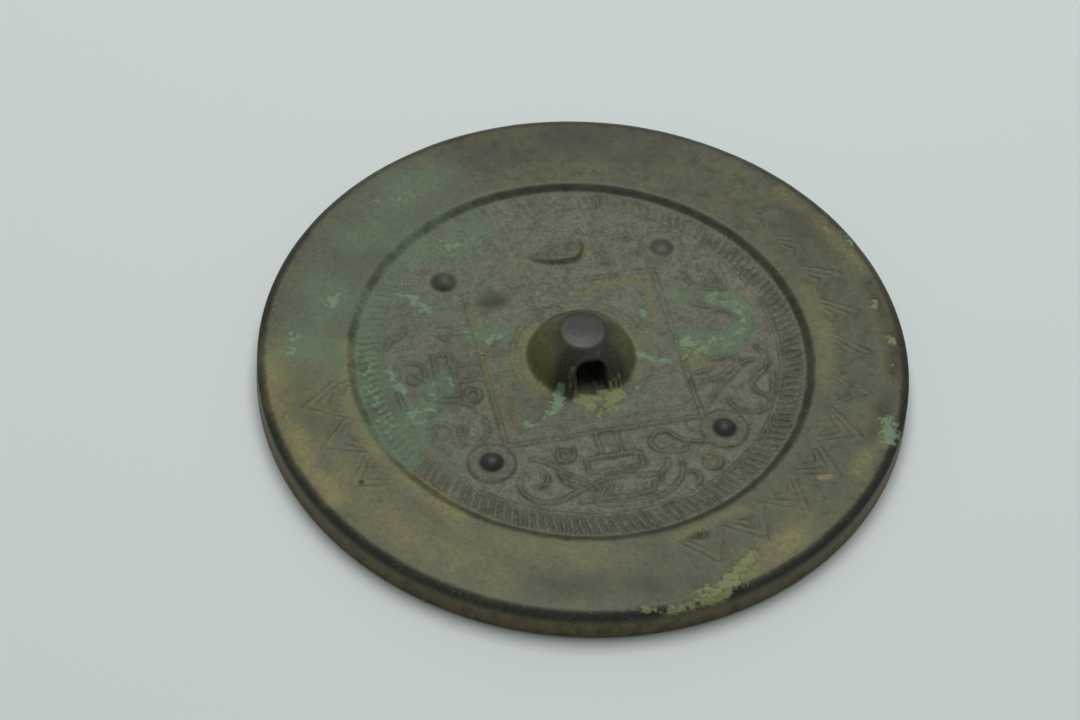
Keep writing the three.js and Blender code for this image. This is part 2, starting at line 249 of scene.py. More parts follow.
@dataclass
class ReliefMap:
    """Heights over the turned form on a square lattice, drawn stroke by stroke."""

    half: float = 56.0
    cell: float = 0.06
    axis: np.ndarray = field(init=False)
    heights: np.ndarray = field(init=False)

    def __post_init__(self) -> None:
        """Lays out an empty map."""
        count = int(round(2 * self.half / self.cell)) + 1
        self.axis = np.linspace(-self.half, self.half, count)
        self.heights = np.zeros((count, count), np.float32)

    def window(self, low: Point, high: Point) -> tuple[tuple[slice, slice], np.ndarray, np.ndarray]:
        """Part of the map between two corners.

        Args:
            low: Lowest x and y.
            high: Highest x and y.

        Returns:
            The slices of the part, and the x and y of its places.
        """
        last = len(self.axis)
        x0, y0 = (max(0, int((v + self.half) / self.cell)) for v in low)
        x1, y1 = (min(last, int((v + self.half) / self.cell) + 2) for v in high)
        x, y = np.meshgrid(self.axis[x0:x1], self.axis[y0:y1])
        return (slice(y0, y1), slice(x0, x1)), x, y

    def raise_segment(self, a: Point, b: Point, width: float, height: float) -> None:
        """Raises a ridge along one straight piece.

        Args:
            a: One end.
            b: Other end.
            width: Width of the ridge at its foot.
            height: Height of the ridge.
        """
        reach = width
        low = (min(a[0], b[0]) - reach, min(a[1], b[1]) - reach)
        high = (max(a[0], b[0]) + reach, max(a[1], b[1]) + reach)
        part, x, y = self.window(low, high)
        dx, dy = b[0] - a[0], b[1] - a[1]
        length = max(dx * dx + dy * dy, 1e-12)
        t = np.clip(((x - a[0]) * dx + (y - a[1]) * dy) / length, 0.0, 1.0)
        away = np.hypot(x - a[0] - t * dx, y - a[1] - t * dy)
        ridge = height * (1.0 - smoothstep(0.22 * width, 0.62 * width, away))
        self.heights[part] = np.maximum(self.heights[part], ridge)

    def raise_line(self, points: Line, width: float, height: float, smooth: bool = True) -> None:
        """Raises a ridge along a line.

        Args:
            points: Points of the line.
            width: Width of the ridge at its foot.
            height: Height of the ridge.
            smooth: Whether the line curves through its points or has corners there.
        """
        samples = smooth_line(points) if smooth else np.array(points, float)
        for a, b in zip(samples[:-1], samples[1:]):
            self.raise_segment(tuple(a), tuple(b), width, height)

    def raise_ring(self, centre: Point, radius: float, width: float, height: float) -> None:
        """Raises a ring.

        Args:
            centre: Middle of the ring.
            radius: Radius to the middle of its ridge.
            width: Width of the ridge.
            height: Height of the ridge.
        """
        reach = radius + width
        part, x, y = self.window(
            (centre[0] - reach, centre[1] - reach), (centre[0] + reach, centre[1] + reach))
        away = np.abs(np.hypot(x - centre[0], y - centre[1]) - radius)
        ridge = height * (1.0 - smoothstep(0.22 * width, 0.62 * width, away))
        self.heights[part] = np.maximum(self.heights[part], ridge)

    def raise_plate(self, centre: Point, radius: float, height: float) -> None:
        """Raises a flat round plate with a steep edge.

        Args:
            centre: Middle of the plate.
            radius: Radius of the plate.
            height: Height of the plate.
        """
        reach = radius + 0.5
        part, x, y = self.window(
            (centre[0] - reach, centre[1] - reach), (centre[0] + reach, centre[1] + reach))
        out = np.hypot(x - centre[0], y - centre[1])
        plate = height * (1.0 - smoothstep(radius - 0.22, radius + 0.08, out))
        self.heights[part] = np.maximum(self.heights[part] * (out > radius), plate)

    def raise_dome(self, centre: Point, radius: float, height: float, turn: float = 0.0,
                   stretch: float = 1.0, power: float = 0.5) -> None:
        """Raises a rounded lump, or sinks a pit where the height is negative.

        Args:
            centre: Middle of the lump.
            radius: Radius across the lump.
            height: Height of the lump.
            turn: Azimuth of its long axis in degrees.
            stretch: Length of the long axis over the other.
            power: 0.5 for a round dome, more for a pointed one.
        """
        reach = radius * max(stretch, 1.0)
        part, x, y = self.window(
            (centre[0] - reach, centre[1] - reach), (centre[0] + reach, centre[1] + reach))
        angle = math.radians(turn)
        u = (x - centre[0]) * math.cos(angle) + (y - centre[1]) * math.sin(angle)
        v = (y - centre[1]) * math.cos(angle) - (x - centre[0]) * math.sin(angle)
        out = (u / (radius * stretch)) ** 2 + (v / radius) ** 2
        dome = height * np.clip(1.0 - out, 0.0, 1.0) ** power
        if height > 0:
            self.heights[part] = np.maximum(self.heights[part], dome)
        else:
            self.heights[part] += dome

    def noise(self, spacing: float, rng: np.random.Generator) -> np.ndarray:
        """Smooth random values from 0 to 1.

        Args:
            spacing: Rough size of the blobs.
            rng: Source of the random numbers.

        Returns:
            One value for each place of the map.
        """
        places = (self.axis + self.half) / spacing
        index = places.astype(int)
        part = places - index
        part = part * part * (3.0 - 2.0 * part)
        grid = rng.random((index[-1] + 2, index[-1] + 2)).astype(np.float32)
        rows = grid[index] * (1.0 - part)[:, None] + grid[index + 1] * part[:, None]
        rows = rows.astype(np.float32)
        return (rows[:, index] * (1.0 - part) + rows[:, index + 1] * part).astype(np.float32)

    def blurred(self, values: np.ndarray, radius: float) -> np.ndarray:
        """Values with their sharp changes softened.

        Args:
            values: Values on the map's lattice.
            radius: Rough reach of the softening.

        Returns:
            The softened values.
        """
        cells = max(1, int(round(radius / self.cell)))
        width = 2 * cells + 1
        result = values.astype(np.float64)
        for _ in range(2):
            for axis in (0, 1):
                pad = [(0, 0), (0, 0)]
                pad[axis] = (cells + 1, cells)
                total = np.cumsum(np.pad(result, pad, mode="edge"), axis=axis)
                ahead = np.take(total, range(width, total.shape[axis]), axis=axis)
                behind = np.take(total, range(0, total.shape[axis] - width), axis=axis)
                result = (ahead - behind) / width
        return result.astype(np.float32)

    def sample(self, values: np.ndarray, x: np.ndarray, y: np.ndarray) -> np.ndarray:
        """Values between the places of the map.

        Args:
            values: Values on the map's lattice.
            x: X of the wanted places.
            y: Y of the wanted places.

        Returns:
            Values at those places.
        """
        last = len(self.axis) - 1.001
        u = np.clip((x + self.half) / self.cell, 0, last)
        v = np.clip((y + self.half) / self.cell, 0, last)
        i, j = u.astype(int), v.astype(int)
        s, t = u - i, v - j
        near = values[j, i] * (1 - s) + values[j, i + 1] * s
        far = values[j + 1, i] * (1 - s) + values[j + 1, i + 1] * s
        return near * (1 - t) + far * t


# ------------------------------------------------------------------ the ornament

LOWER_BEAST: list[Line] = [
    [(-13.6, -26.0), (-11.7, -25.4), (-11.6, -23.2), (-13.6, -22.1), (-15.7, -23.4),
     (-16.1, -26.4), (-13.9, -28.8), (-10.6, -29.2), (-6.0, -27.6), (-0.5, -26.2), (6.0, -26.8)],
    [(-13.2, -19.8), (-10.4, -21.6), (-8.0, -24.3), (-5.4, -26.0)],
    [(-9.6, -23.9), (-8.5, -26.1), (-6.6, -27.2)],
    [(-7.6, -30.1), (-2.0, -30.3), (2.6, -30.4), (5.0, -29.7), (5.5, -28.2)],
    [(-4.8, -31.2), (1.5, -32.0), (6.6, -31.0), (9.6, -28.8), (10.7, -26.4), (10.8, -24.0)],
    [(6.6, -28.8), (6.9, -26.9), (8.3, -25.7), (8.7, -24.0)],
    [(11.3, -27.3), (12.7, -28.0), (12.9, -29.2), (12.2, -30.2)],
    [(8.2, -18.6), (10.0, -18.6), (11.4, -20.3), (13.2, -21.4), (15.9, -21.9)],
    [(9.4, -22.3), (10.8, -23.0), (12.2, -22.8), (12.4, -21.9)],
    curl((8.7, -20.6), 1.9, 1.9, 120, 200),
    curl((-7.7, -20.2), 0.7, 1.8, -10, 400),
    curl((15.6, -26.2), 0.7, 1.9, 40, 400),
]

LEFT_BEAST: list[Line] = [
    [(-27.3, -2.6), (-26.9, -4.6), (-25.2, -5.4), (-22.6, -5.8), (-20.2, -7.3)],
    [(-25.6, -6.4), (-26.2, -7.3), (-28.0, -8.2)],
    [(-28.4, -10.4), (-26.4, -9.8), (-24.7, -10.9), (-24.6, -13.4), (-24.0, -15.2)],
    [(-28.0, -14.0), (-27.8, -12.2), (-27.0, -10.8)],
    [(-24.0, -15.2), (-22.6, -14.3), (-21.3, -15.2), (-19.4, -14.1), (-18.7, -12.0),
     (-19.1, -10.3)],
    [(-28.0, -14.0), (-26.8, -14.9), (-25.9, -16.2)],
    [(-31.0, 3.4), (-31.4, 0.0), (-31.8, -3.0), (-31.4, -6.0)],
    [(-28.8, 3.8), (-27.0, 3.1), (-26.6, 1.4), (-26.8, -0.6)],
    [(-30.6, 9.2), (-28.9, 9.8), (-27.9, 11.2), (-28.4, 12.8)],
    [(-31.8, 7.6), (-30.2, 10.6)],
    [(-23.4, 9.4), (-21.4, 7.5)],
    [(-20.9, 8.9), (-18.7, 8.8)],
    curl((-19.8, -4.9), 1.0, 1.6, 170, -330),
    curl((-23.4, -11.9), 0.8, 1.0, 90, 300),
    curl((-28.6, 0.2), 0.8, 1.0, 0, 290),
]

RIGHT_BEAST: list[Line] = [
    [(18.3, -14.2), (21.2, -11.0), (24.4, -8.6), (26.4, -6.7), (28.4, -6.3)],
    [(25.5, -4.4), (25.6, -6.0), (23.4, -8.0), (20.8, -9.6)],
    [(29.4, -3.6), (30.3, -5.6), (30.3, -7.9), (28.4, -9.7), (26.5, -11.3), (26.9, -13.0),
     (28.2, -14.4)],
    [(21.9, -14.0), (22.3, -15.8), (24.4, -17.2), (27.2, -17.2), (28.9, -15.4), (30.0, -12.6),
     (30.7, -10.0)],
    [(18.0, -7.4), (20.4, -7.2)],
    [(18.8, -9.4), (20.6, -9.3)],
    [(23.6, 8.9), (26.6, 8.3), (29.0, 6.2), (30.1, 3.4), (29.6, 0.4), (28.2, -1.6)],
    [(24.8, 5.6), (26.8, 4.9), (27.9, 3.0), (27.3, 0.8)],
    [(21.8, 15.6), (22.0, 13.2), (23.2, 11.2), (25.2, 10.3), (28.0, 10.0)],
    [(26.5, 14.0), (26.6, 11.6)],
    [(27.9, 13.4), (28.1, 11.4)],
    [(20.4, 9.9), (20.9, 8.2), (22.4, 7.0), (24.0, 6.6)],
    [(20.8, -5.0), (24.6, -5.0)],
]

UPPER_BEAST: list[Line] = [
    curl((8.7, 20.7), 1.5, 1.7, 60, 300),
    curl((13.6, 20.4), 1.0, 1.7, -60, 330),
    curl((9.2, 25.4), 1.2, 1.2, 0, 270),
    [(12.6, 23.9), (14.6, 24.7)],
]


@dataclass(frozen=True)
class Boss:
    """Nub on a flat plate at a corner of the square."""

    at: Point
    plate: float
    nub: float


@dataclass(frozen=True)
class FieldOrnament:
    """Relief of the sunken field, about the field's own centre."""

    thread: float = 0.7
    thread_height: float = 0.32
    square_half: float = 16.6
    inner_half: float = 14.1
    knob_ring: float = 11.6
    comb_inner: float = 34.5
    comb_outer: float = 37.2
    comb_teeth: int = 160
    comb_slant: float = 17.0
    comb_circle: float = 33.7
    boss_radius: float = 2.1
    boss_height: float = 1.35
    plate_radius: float = 3.95
    foot_half: float = 4.9
    foot_near: float = 21.5
    foot_far: float = 25.1
    stem_half: float = 1.7
    bosses: tuple[Boss, ...] = (
        Boss((-19.7, -19.6), 0.3, 1.0), Boss((19.5, -20.0), 0.3, 1.0),
        Boss((19.5, 21.2), 0.14, 0.55), Boss((-19.4, 20.5), 0.0, 0.9))

    def draw(self, relief: ReliefMap, centre: Point) -> None:
        """Draws the field's ornament but for its bosses, which are drawn apart.

        Args:
            relief: Map to draw on.
            centre: The field's centre on the map.
        """
        shift = np.array(centre)
        for beast in (LOWER_BEAST, LEFT_BEAST, RIGHT_BEAST, UPPER_BEAST):
            for line in beast:
                relief.raise_line(np.array(line) + shift, self.thread, self.thread_height)
        for x in (-4.8, -3.5, -2.2, -0.9):
            feather = np.array([(x, -29.2), (x + 1.0, -27.7)]) + shift
            relief.raise_line(feather, 0.5, 0.25)
        self.draw_square(relief, shift, self.square_half, self.thread, 0.3)
        self.draw_square(relief, shift, self.inner_half, 0.5, 0.14)
        for quarter in (0, 1):
            self.draw_foot(relief, shift, quarter)
        relief.raise_ring(centre, self.knob_ring, 0.95, 0.2)
        relief.raise_ring(centre, self.comb_circle, 0.6, 0.26)
        self.draw_comb(relief, centre)

    def draw_square(self, relief: ReliefMap, shift: np.ndarray, half: float, width: float,
                    height: float) -> None:
        """Draws one of the squares round the knob.

        Args:
            relief: Map to draw on.
            shift: The field's centre.
            half: Half of the square's side.
            width: Width of its line.
            height: Height of its line.
        """
        corners = np.array([(-half, -half), (half, -half), (half, half), (-half, half)]) + shift
        relief.raise_line(np.vstack([corners, corners[:1]]), width, height, smooth=False)

    def draw_foot(self, relief: ReliefMap, shift: np.ndarray, quarter: int) -> None:
        """Draws a T that stands on a side of the square.

        Args:
            relief: Map to draw on.
            shift: The field's centre.
            quarter: Quarter turns clockwise from the side at the bottom.
        """
        half, near, far = self.foot_half, self.foot_near, self.foot_far
        inset = self.thread / 2
        box = [(-half + inset, -far + inset), (half - inset, -far + inset),
               (half - inset, -near - inset), (-half + inset, -near - inset)]
        lines = [(box + box[:1], self.thread_height)]
        for x in (-self.stem_half, self.stem_half):
            lines.append(([(x, -near - inset), (x, -self.square_half)], 0.22))
        angle = -quarter * math.pi / 2
        turn = np.array([[math.cos(angle), math.sin(angle)], [-math.sin(angle), math.cos(angle)]])
        for line, height in lines:
            relief.raise_line(np.array(line) @ turn + shift, self.thread, height, smooth=False)

    def draw_comb(self, relief: ReliefMap, centre: Point) -> None:
        """Draws the band of slanting comb teeth.

        Args:
            relief: Map to draw on.
            centre: The field's centre on the map.
        """
        middle = (self.comb_inner + self.comb_outer) / 2
        reach = (self.comb_outer - self.comb_inner) / 2
        for i in range(self.comb_teeth):
            azimuth = 360.0 * i / self.comb_teeth
            at = polar(middle, azimuth, centre)
            lean = azimuth + self.comb_slant
            relief.raise_segment(polar(-reach, lean, at), polar(reach, lean, at), 0.78, 0.3)

    def draw_boss(self, relief: ReliefMap, shift: np.ndarray, boss: Boss) -> None:
        """Draws a boss and its plate.

        Args:
            relief: Map to draw on.
            shift: The field's centre.
            boss: The boss.
        """
        at = tuple(np.array(boss.at) + shift)
        if boss.plate:
            relief.raise_plate(at, self.plate_radius, boss.plate)
        relief.raise_dome(at, self.boss_radius, self.boss_height * boss.nub, power=0.8)


@dataclass(frozen=True)
class RimOrnament:
    """Saw-tooth band of the rim, drawn where wear has spared it."""

    triangles: int = 33
    inner: float = 42.6
    outer: float = 48.6
    width: float = 0.4
    height: float = 0.12
    phase: float = -1.2
    kept: tuple[Point, ...] = ((-80.0, 34.0), (184.0, 214.0))

    def draw(self, relief: ReliefMap) -> None:
        """Draws the band.

        Args:
            relief: Map to draw on.
        """
        pitch = 360.0 / self.triangles
        for start, end in self.kept:
            first = math.ceil((start - self.phase) / pitch)
            last = math.floor((end - self.phase) / pitch)
            for i in range(first, last + 1):
                azimuth = self.phase + i * pitch
                for inset in (0.0, 1.5, 3.0):
                    self.draw_chevron(relief, azimuth, pitch / 2 - 0.1, inset)

    def draw_chevron(self, relief: ReliefMap, azimuth: float, half: float, inset: float) -> None:
        """Draws one nested triangle of the band, open at its base.

        Args:
            relief: Map to draw on.
            azimuth: Azimuth of the apex.
            half: Half of a triangle's pitch in degrees.
            inset: How far this line stands inside the outer one.
        """
        apex = polar(self.outer - inset * 1.6, azimuth)
        left = polar(self.inner, azimuth - half + inset)
        right = polar(self.inner, azimuth + half - inset)
        relief.raise_line([left, apex, right], self.width, self.height, smooth=False)


# ------------------------------------------------------------------ patina laid on the metal, and painted shade on the knob's front

class Stain(Enum):
    """Kinds of patina that lie in patches on the casting, one of which also lays painted shade on the knob's front."""

    OCHRE = "ochre"
    TARNISH_AND_SHADE = "shade"
    VERDIGRIS = "verdigris"
    MINT = "mint"
    CRUST = "crust"

    @property
    def grainy(self) -> bool:
        """Whether it lies in ragged grains and not as a haze."""
        return self in (Stain.MINT, Stain.CRUST)


# Patches as reach in millimetres, strength, and a line about the field's centre.
FIELD_STAINS: dict[Stain, list[tuple[float, float, Line]]] = {
    Stain.VERDIGRIS: [
        (4.6, 0.95, [(-12.5, 33.4), (-16.0, 31.5), (-20.5, 29.5)]),
        (4.4, 0.75, [(-20.5, 30.5), (-27.5, 24.5), (-33.0, 15.0)]),
        (9.0, 0.38, [(-15.0, 26.0), (-26.0, 20.0), (-30.0, 8.0)]),
        (2.6, 1.0, [(-34.0, 12.0), (-35.2, 6.0), (-36.0, -0.7), (-35.2, -9.0), (-32.2, -16.0)]),
        (3.2, 0.6, [(-33.0, -6.0), (-30.0, -12.0), (-26.5, -17.5)]),
        (2.6, 0.85, [(-30.4, -7.8), (-27.5, -6.8), (-25.7, -2.8)]),
        (1.5, 0.95, [(-23.4, 0.6), (-23.3, -2.4)]),
        (2.0, 0.85, [(-18.6, 8.8), (-15.8, 7.6), (-12.6, 7.0)]),
        (2.4, 0.5, [(-22.5, 13.0), (-19.0, 10.5)]),
        (1.7, 0.9, [(18.4, 11.0), (20.6, 9.2)]),
        (1.7, 1.0, [(24.6, 8.8), (27.4, 7.2), (29.4, 4.6), (28.6, 1.0), (25.4, -1.4)]),
        (2.6, 0.8, [(24.6, -1.6), (20.9, -0.8), (17.6, -0.4)]),
        (3.0, 0.35, [(-3.0, -11.0), (4.0, -11.5)]),
        (6.0, 0.22, [(8.0, -9.0), (12.0, 4.0)]),
    ],
    Stain.MINT: [
        (1.5, 0.72, [(-26.2, 18.4), (-24.2, 15.6)]),
        (2.2, 0.5, [(-17.5, 27.5), (-13.0, 29.0)]),
        (0.9, 0.85, [(-32.3, 3.6), (-32.0, 1.6), (-31.2, -1.8)]),
        (1.6, 0.55, [(-35.4, 5.0), (-36.0, -1.0), (-34.8, -9.5)]),
        (2.0, 0.5, [(-31.0, -7.6), (-27.6, -6.8)]),
        (1.0, 0.6, [(-25.8, -1.4), (-25.7, -4.0)]),
        (0.9, 0.6, [(-23.3, -0.2), (-23.3, -2.0)]),
        (1.0, 0.62, [(-18.2, 8.8), (-16.4, 8.4)]),
        (1.0, 0.62, [(-14.8, 6.2), (-12.6, 6.6)]),
        (1.0, 0.95, [(-5.5, -7.2), (-5.9, -8.8), (-7.1, -10.8)]),
        (0.85, 0.85, [(-7.1, -10.8), (-9.0, -12.0)]),
        (0.8, 0.7, [(-10.6, -13.0), (-12.0, -12.8)]),
        (0.75, 0.8, [(9.2, -1.6), (11.4, -2.9)]),
        (0.8, 1.0, [(12.2, -3.4), (14.0, -4.1)]),
        (0.7, 0.85, [(12.5, 7.4), (12.7, 7.2)]),
        (1.4, 0.62, [(25.0, 8.4), (27.6, 6.9), (29.1, 3.6), (27.8, 0.4)]),
        (1.6, 0.62, [(24.4, -1.8), (20.9, -1.2), (18.0, -0.4)]),
        (0.6, 0.5, [(7.4, -7.8), (7.9, -11.0)]),
        (0.6, 0.9, [(-6.9, 1.4), (-7.0, 1.1)]),
        (0.7, 0.7, [(-8.0, -4.9), (-7.6, -5.6)]),
    ],
    Stain.CRUST: [
        (1.9, 1.0, [(-2.6, -9.4), (0.4, -9.6), (3.6, -9.0)]),
        (2.6, 0.5, [(-2.0, -11.0), (2.7, -11.4)]),
        (2.0, 0.72, [(17.9, -3.8), (20.6, -3.6)]),
        (0.7, 0.6, [(-16.0, 6.4), (-16.2, 2.8)]),
    ],
    Stain.OCHRE: [
        (3.0, 1.0, [(-7.6, -3.6), (-8.0, 0.0), (-7.0, 4.0)]),
        (2.4, 0.95, [(7.4, -4.2), (7.9, 0.0), (7.0, 3.6)]),
        (0.7, 0.8, [(-11.2, 4.0), (-11.5, 0.0), (-9.9, -5.6)]),
        (0.7, 0.75, [(12.0, 4.2), (12.2, 0.6), (11.4, -3.6)]),
        (0.55, 0.85, [(-16.3, 13.5), (-16.3, 2.6)]),
        (0.45, 0.6, [(-16.3, 2.6), (-16.3, -14.0)]),
        (0.45, 0.65, [(-13.9, -2.5), (-13.9, -12.5)]),
        (0.6, 0.6, [(2.0, 14.0), (13.8, 14.0), (13.9, 4.0)]),
        (1.2, 0.4, [(-8.0, 21.0), (-4.0, 19.0)]),
        (1.3, 1.0, [(-38.4, 8.8), (-38.8, 4.0), (-39.6, 0.2)]),
        (1.0, 0.45, [(-39.4, -1.0), (-37.5, -11.5), (-33.0, -19.5)]),
        (0.5, 0.55, [(-34.2, 9.0), (-34.4, 0.0), (-32.8, -9.6), (-27.4, -19.6)]),
        (1.3, 0.5, [(18.5, -4.6), (20.6, -6.0)]),
        (0.8, 0.7, [(15.6, -26.4), (16.0, -26.0)]),
        (1.0, 0.5, [(4.6, 22.0), (5.4, 22.6)]),
    ],
    Stain.TARNISH_AND_SHADE: [
        # The first three patches are painted shade on the knob's front about the near mouth of the cord hole, over dark
        # patina; the others are dark tarnish.
        (2.3, 1.0, [(-3.8, -6.6), (-3.2, -5.2), (0.0, -4.8), (3.2, -5.2), (3.8, -6.6)]),
        (0.9, 0.6, [(-5.6, -7.0), (-4.4, -8.2)]),
        (0.9, 0.6, [(4.4, -7.9), (6.4, -6.6)]),
        (1.6, 0.75, [(-13.0, 14.4), (-11.4, 14.9)]),
        (3.4, 0.3, [(-24.0, -3.0), (-21.0, 4.0)]),
        (4.0, 0.25, [(-13.0, -8.0), (-9.0, -12.0)]),
    ],
}

# The same on the rim, with lines as azimuth and radius about the disc's centre.
RIM_STAINS: dict[Stain, list[tuple[float, float, Line]]] = {
    Stain.VERDIGRIS: [
        (5.0, 0.6, [(112, 46), (123, 47.5), (134, 45.5)]),
        (2.2, 0.55, [(117, 46.2), (124, 48.2)]),
        (5.0, 0.8, [(150, 44.5), (160, 45.0), (168, 46.5)]),
        (2.4, 0.8, [(163, 48.0), (169, 48.6)]),
        (2.0, 0.5, [(136, 42.0), (147, 41.6)]),
        (1.6, 0.5, [(170, 40.8), (176, 41.6)]),
    ],
    Stain.MINT: [
        (1.3, 0.62, [(166, 49.0), (170, 49.4)]),
        (1.4, 0.5, [(150, 43.5), (156, 43.4)]),
        (1.6, 0.42, [(118, 46.2), (124, 48.2)]),
        (1.0, 0.55, [(171.5, 46.0), (175, 45.4)]),
        (1.5, 1.0, [(-28.6, 52.3), (-30.4, 52.9), (-32.6, 53.2)]),
        (1.0, 0.7, [(-71.0, 49.6), (-73.4, 50.0)]),
        (1.0, 0.55, [(-77.0, 51.4), (-80.0, 52.6)]),
        (0.6, 0.55, [(15.5, 53.8), (19.5, 53.4)]),
        (0.8, 0.45, [(41.0, 47.8), (42.0, 47.8)]),
    ],
    Stain.CRUST: [
        (1.2, 0.95, [(-71.4, 49.7), (-74.0, 50.6), (-77.0, 51.9)]),
        (1.7, 1.0, [(-76.0, 51.9), (-79.5, 53.0), (-82.5, 53.9)]),
        (1.0, 0.9, [(-82.0, 54.2), (-86.0, 54.5), (-89.5, 54.5)]),
        (0.7, 0.6, [(-90.0, 54.2), (-97.0, 54.0)]),
        (1.3, 0.45, [(-84.0, 52.6), (-92.0, 52.9)]),
        (0.8, 0.85, [(-0.2, 51.0), (1.0, 51.4)]),
        (0.7, 0.85, [(-8.2, 52.0), (-9.4, 52.4)]),
        (0.6, 0.7, [(-17.9, 51.2), (-19.6, 51.5)]),
        (0.5, 0.7, [(-15.0, 52.0), (-15.6, 52.2)]),
        (0.6, 0.65, [(-26.6, 49.8), (-27.4, 50.0)]),
        (0.8, 0.7, [(-29.2, 51.2), (-31.8, 51.4)]),
        (0.5, 0.4, [(10.0, 52.6), (24.0, 52.0)]),
        (0.6, 0.5, [(183.0, 51.6), (187.0, 51.4)]),
        (1.0, 0.55, [(178.5, 40.6), (181.0, 40.7)]),
    ],
    Stain.OCHRE: [
        (2.2, 0.95, [(168.0, 51.4), (176.0, 51.4), (184.0, 51.2)]),
        (1.8, 0.85, [(184.0, 51.2), (196.0, 51.4), (206.0, 51.6)]),
        (5.0, 0.5, [(172.0, 47.0), (182.0, 47.0)]),
        (3.6, 0.4, [(196.0, 49.0), (216.0, 49.0), (240.0, 49.5)]),
        (1.8, 0.75, [(177.0, 40.4), (184.0, 41.0)]),
        (1.6, 0.6, [(184.0, 41.2), (205.0, 40.9), (228.0, 40.8)]),
        (3.0, 0.35, [(228.0, 42.0), (250.0, 43.0), (262.0, 43.0)]),
        (1.3, 0.4, [(-22.0, 40.9), (-8.0, 41.0), (8.0, 41.0)]),
        (1.3, 1.0, [(-37.8, 51.0), (-39.4, 51.2), (-41.8, 50.8)]),
        (0.5, 0.85, [(-45.8, 47.4), (-47.4, 46.2)]),
        (2.0, 0.75, [(-59.0, 50.4), (-65.6, 50.6), (-71.0, 50.8)]),
        (1.6, 0.6, [(-67.0, 51.4), (-74.0, 52.2)]),
        (1.2, 0.75, [(28.6, 51.2), (34.0, 51.6)]),
        (1.0, 0.6, [(30.2, 46.8), (31.2, 46.8)]),
        (1.6, 0.4, [(24.0, 51.6), (10.0, 52.4), (-6.0, 51.8), (-22.0, 51.4)]),
        (1.6, 0.45, [(-29.0, 50.6), (-34.0, 51.4)]),
        (1.0, 0.5, [(-84.0, 41.6), (-66.0, 41.4)]),
    ],
    Stain.TARNISH_AND_SHADE: [
        (1.3, 0.75, [(6.0, 51.9), (-6.0, 52.2), (-16.0, 52.2), (-27.0, 51.0)]),
        (1.2, 0.5, [(-27.0, 50.6), (-34.0, 50.2)]),
        (3.4, 0.4, [(25.0, 47.6), (29.0, 48.6)]),
        (4.0, 0.35, [(60.0, 50.5), (82.0, 49.6), (102.0, 50.5)]),
        (0.5, 1.0, [(-76.6, 42.6), (-79.6, 42.5)]),
        (3.0, 0.3, [(180.0, 49.2), (186.0, 48.4)]),
        (2.0, 0.35, [(-112.0, 50.0), (-84.0, 51.0)]),
        (0.35, 0.9, [(206.0, 46.6), (206.3, 46.6)]),
    ],
}


def lay(layer: np.ndarray, lattice: ReliefMap, line: np.ndarray, reach: float,
        strength: float) -> None:
    """Adds a soft-edged oval or streak to a layer of stain.

    Args:
        layer: Strengths so far.
        lattice: Map whose lattice the layer uses.
        line: Points along its middle, on the disc.
        reach: Distance from the line at which it has half its strength.
        strength: Strength on the line.
    """
    samples = smooth_line(line, 1.0)
    part, x, y = lattice.window(tuple(samples.min(0) - reach * 2), tuple(samples.max(0) + reach * 2))
    away = np.full(x.shape, 1e9)
    for a, b in zip(samples[:-1], samples[1:]):
        d = b - a
        t = np.clip(((x - a[0]) * d[0] + (y - a[1]) * d[1]) / max(float(d @ d), 1e-12), 0.0, 1.0)
        away = np.minimum(away, np.hypot(x - a[0] - t * d[0], y - a[1] - t * d[1]))
    value = strength * (1.0 - smoothstep(0.0, 2.0 * reach, away))
    layer[part] = np.maximum(layer[part], value)


# ------------------------------------------------------------------ shader nodes

def tone(red: int, green: int, blue: int) -> tuple[float, float, float, float]:
    """Linear colour of an ordinary screen colour.

    Args:
        red: 0 to 255.
        green: 0 to 255.
        blue: 0 to 255.

    Returns:
        Red, green, blue and alpha, linear.
    """
    def linear(value: int) -> float:
        """One channel made linear."""
        share = value / 255.0
        return share / 12.92 if share <= 0.04045 else ((share + 0.055) / 1.055) ** 2.4

    return linear(red), linear(green), linear(blue), 1.0


class Wire:
    """Number that leaves a node's socket, with ordinary arithmetic."""

    def __init__(self, bench: "Bench", socket: bpy.types.NodeSocket) -> None:
        """Keeps the socket and the bench that makes more nodes."""
        self.bench = bench
        self.socket = socket

    def _math(self, operation: str, a: Any, b: Any) -> "Wire":
        """Adds a Math node on two values."""
        return self.bench.node("ShaderNodeMath", {"operation": operation}, {0: a, 1: b})

    def __add__(self, other: Any) -> "Wire":
        """Sum."""
        return self._math("ADD", self, other)

    def __radd__(self, other: Any) -> "Wire":
        """Sum, reflected."""
        return self._math("ADD", other, self)

    def __sub__(self, other: Any) -> "Wire":
        """Difference."""
        return self._math("SUBTRACT", self, other)

    def __rsub__(self, other: Any) -> "Wire":
        """Difference, reflected."""
        return self._math("SUBTRACT", other, self)

    def __mul__(self, other: Any) -> "Wire":
        """Product."""
        return self._math("MULTIPLY", self, other)

    def __rmul__(self, other: Any) -> "Wire":
        """Product, reflected."""
        return self._math("MULTIPLY", other, self)

    def at_most(self, other: Any) -> "Wire":
        """The smaller of two values."""
        return self._math("MINIMUM", self, other)

    def at_least(self, other: Any) -> "Wire":
        """The larger of two values."""
        return self._math("MAXIMUM", self, other)

    def ramp(self, low: float, high: float, to_low: float = 0.0, to_high: float = 1.0) -> "Wire":
        """Smooth change between two values.

        Args:
            low: Value where the change starts.
            high: Value where it ends.
            to_low: Result at the start.
            to_high: Result at the end.

        Returns:
            The shaped value.
        """
        return self.bench.node(
            "ShaderNodeMapRange", {"interpolation_type": "SMOOTHSTEP"},
            {"Value": self, "From Min": low, "From Max": high, "To Min": to_low,
             "To Max": to_high})


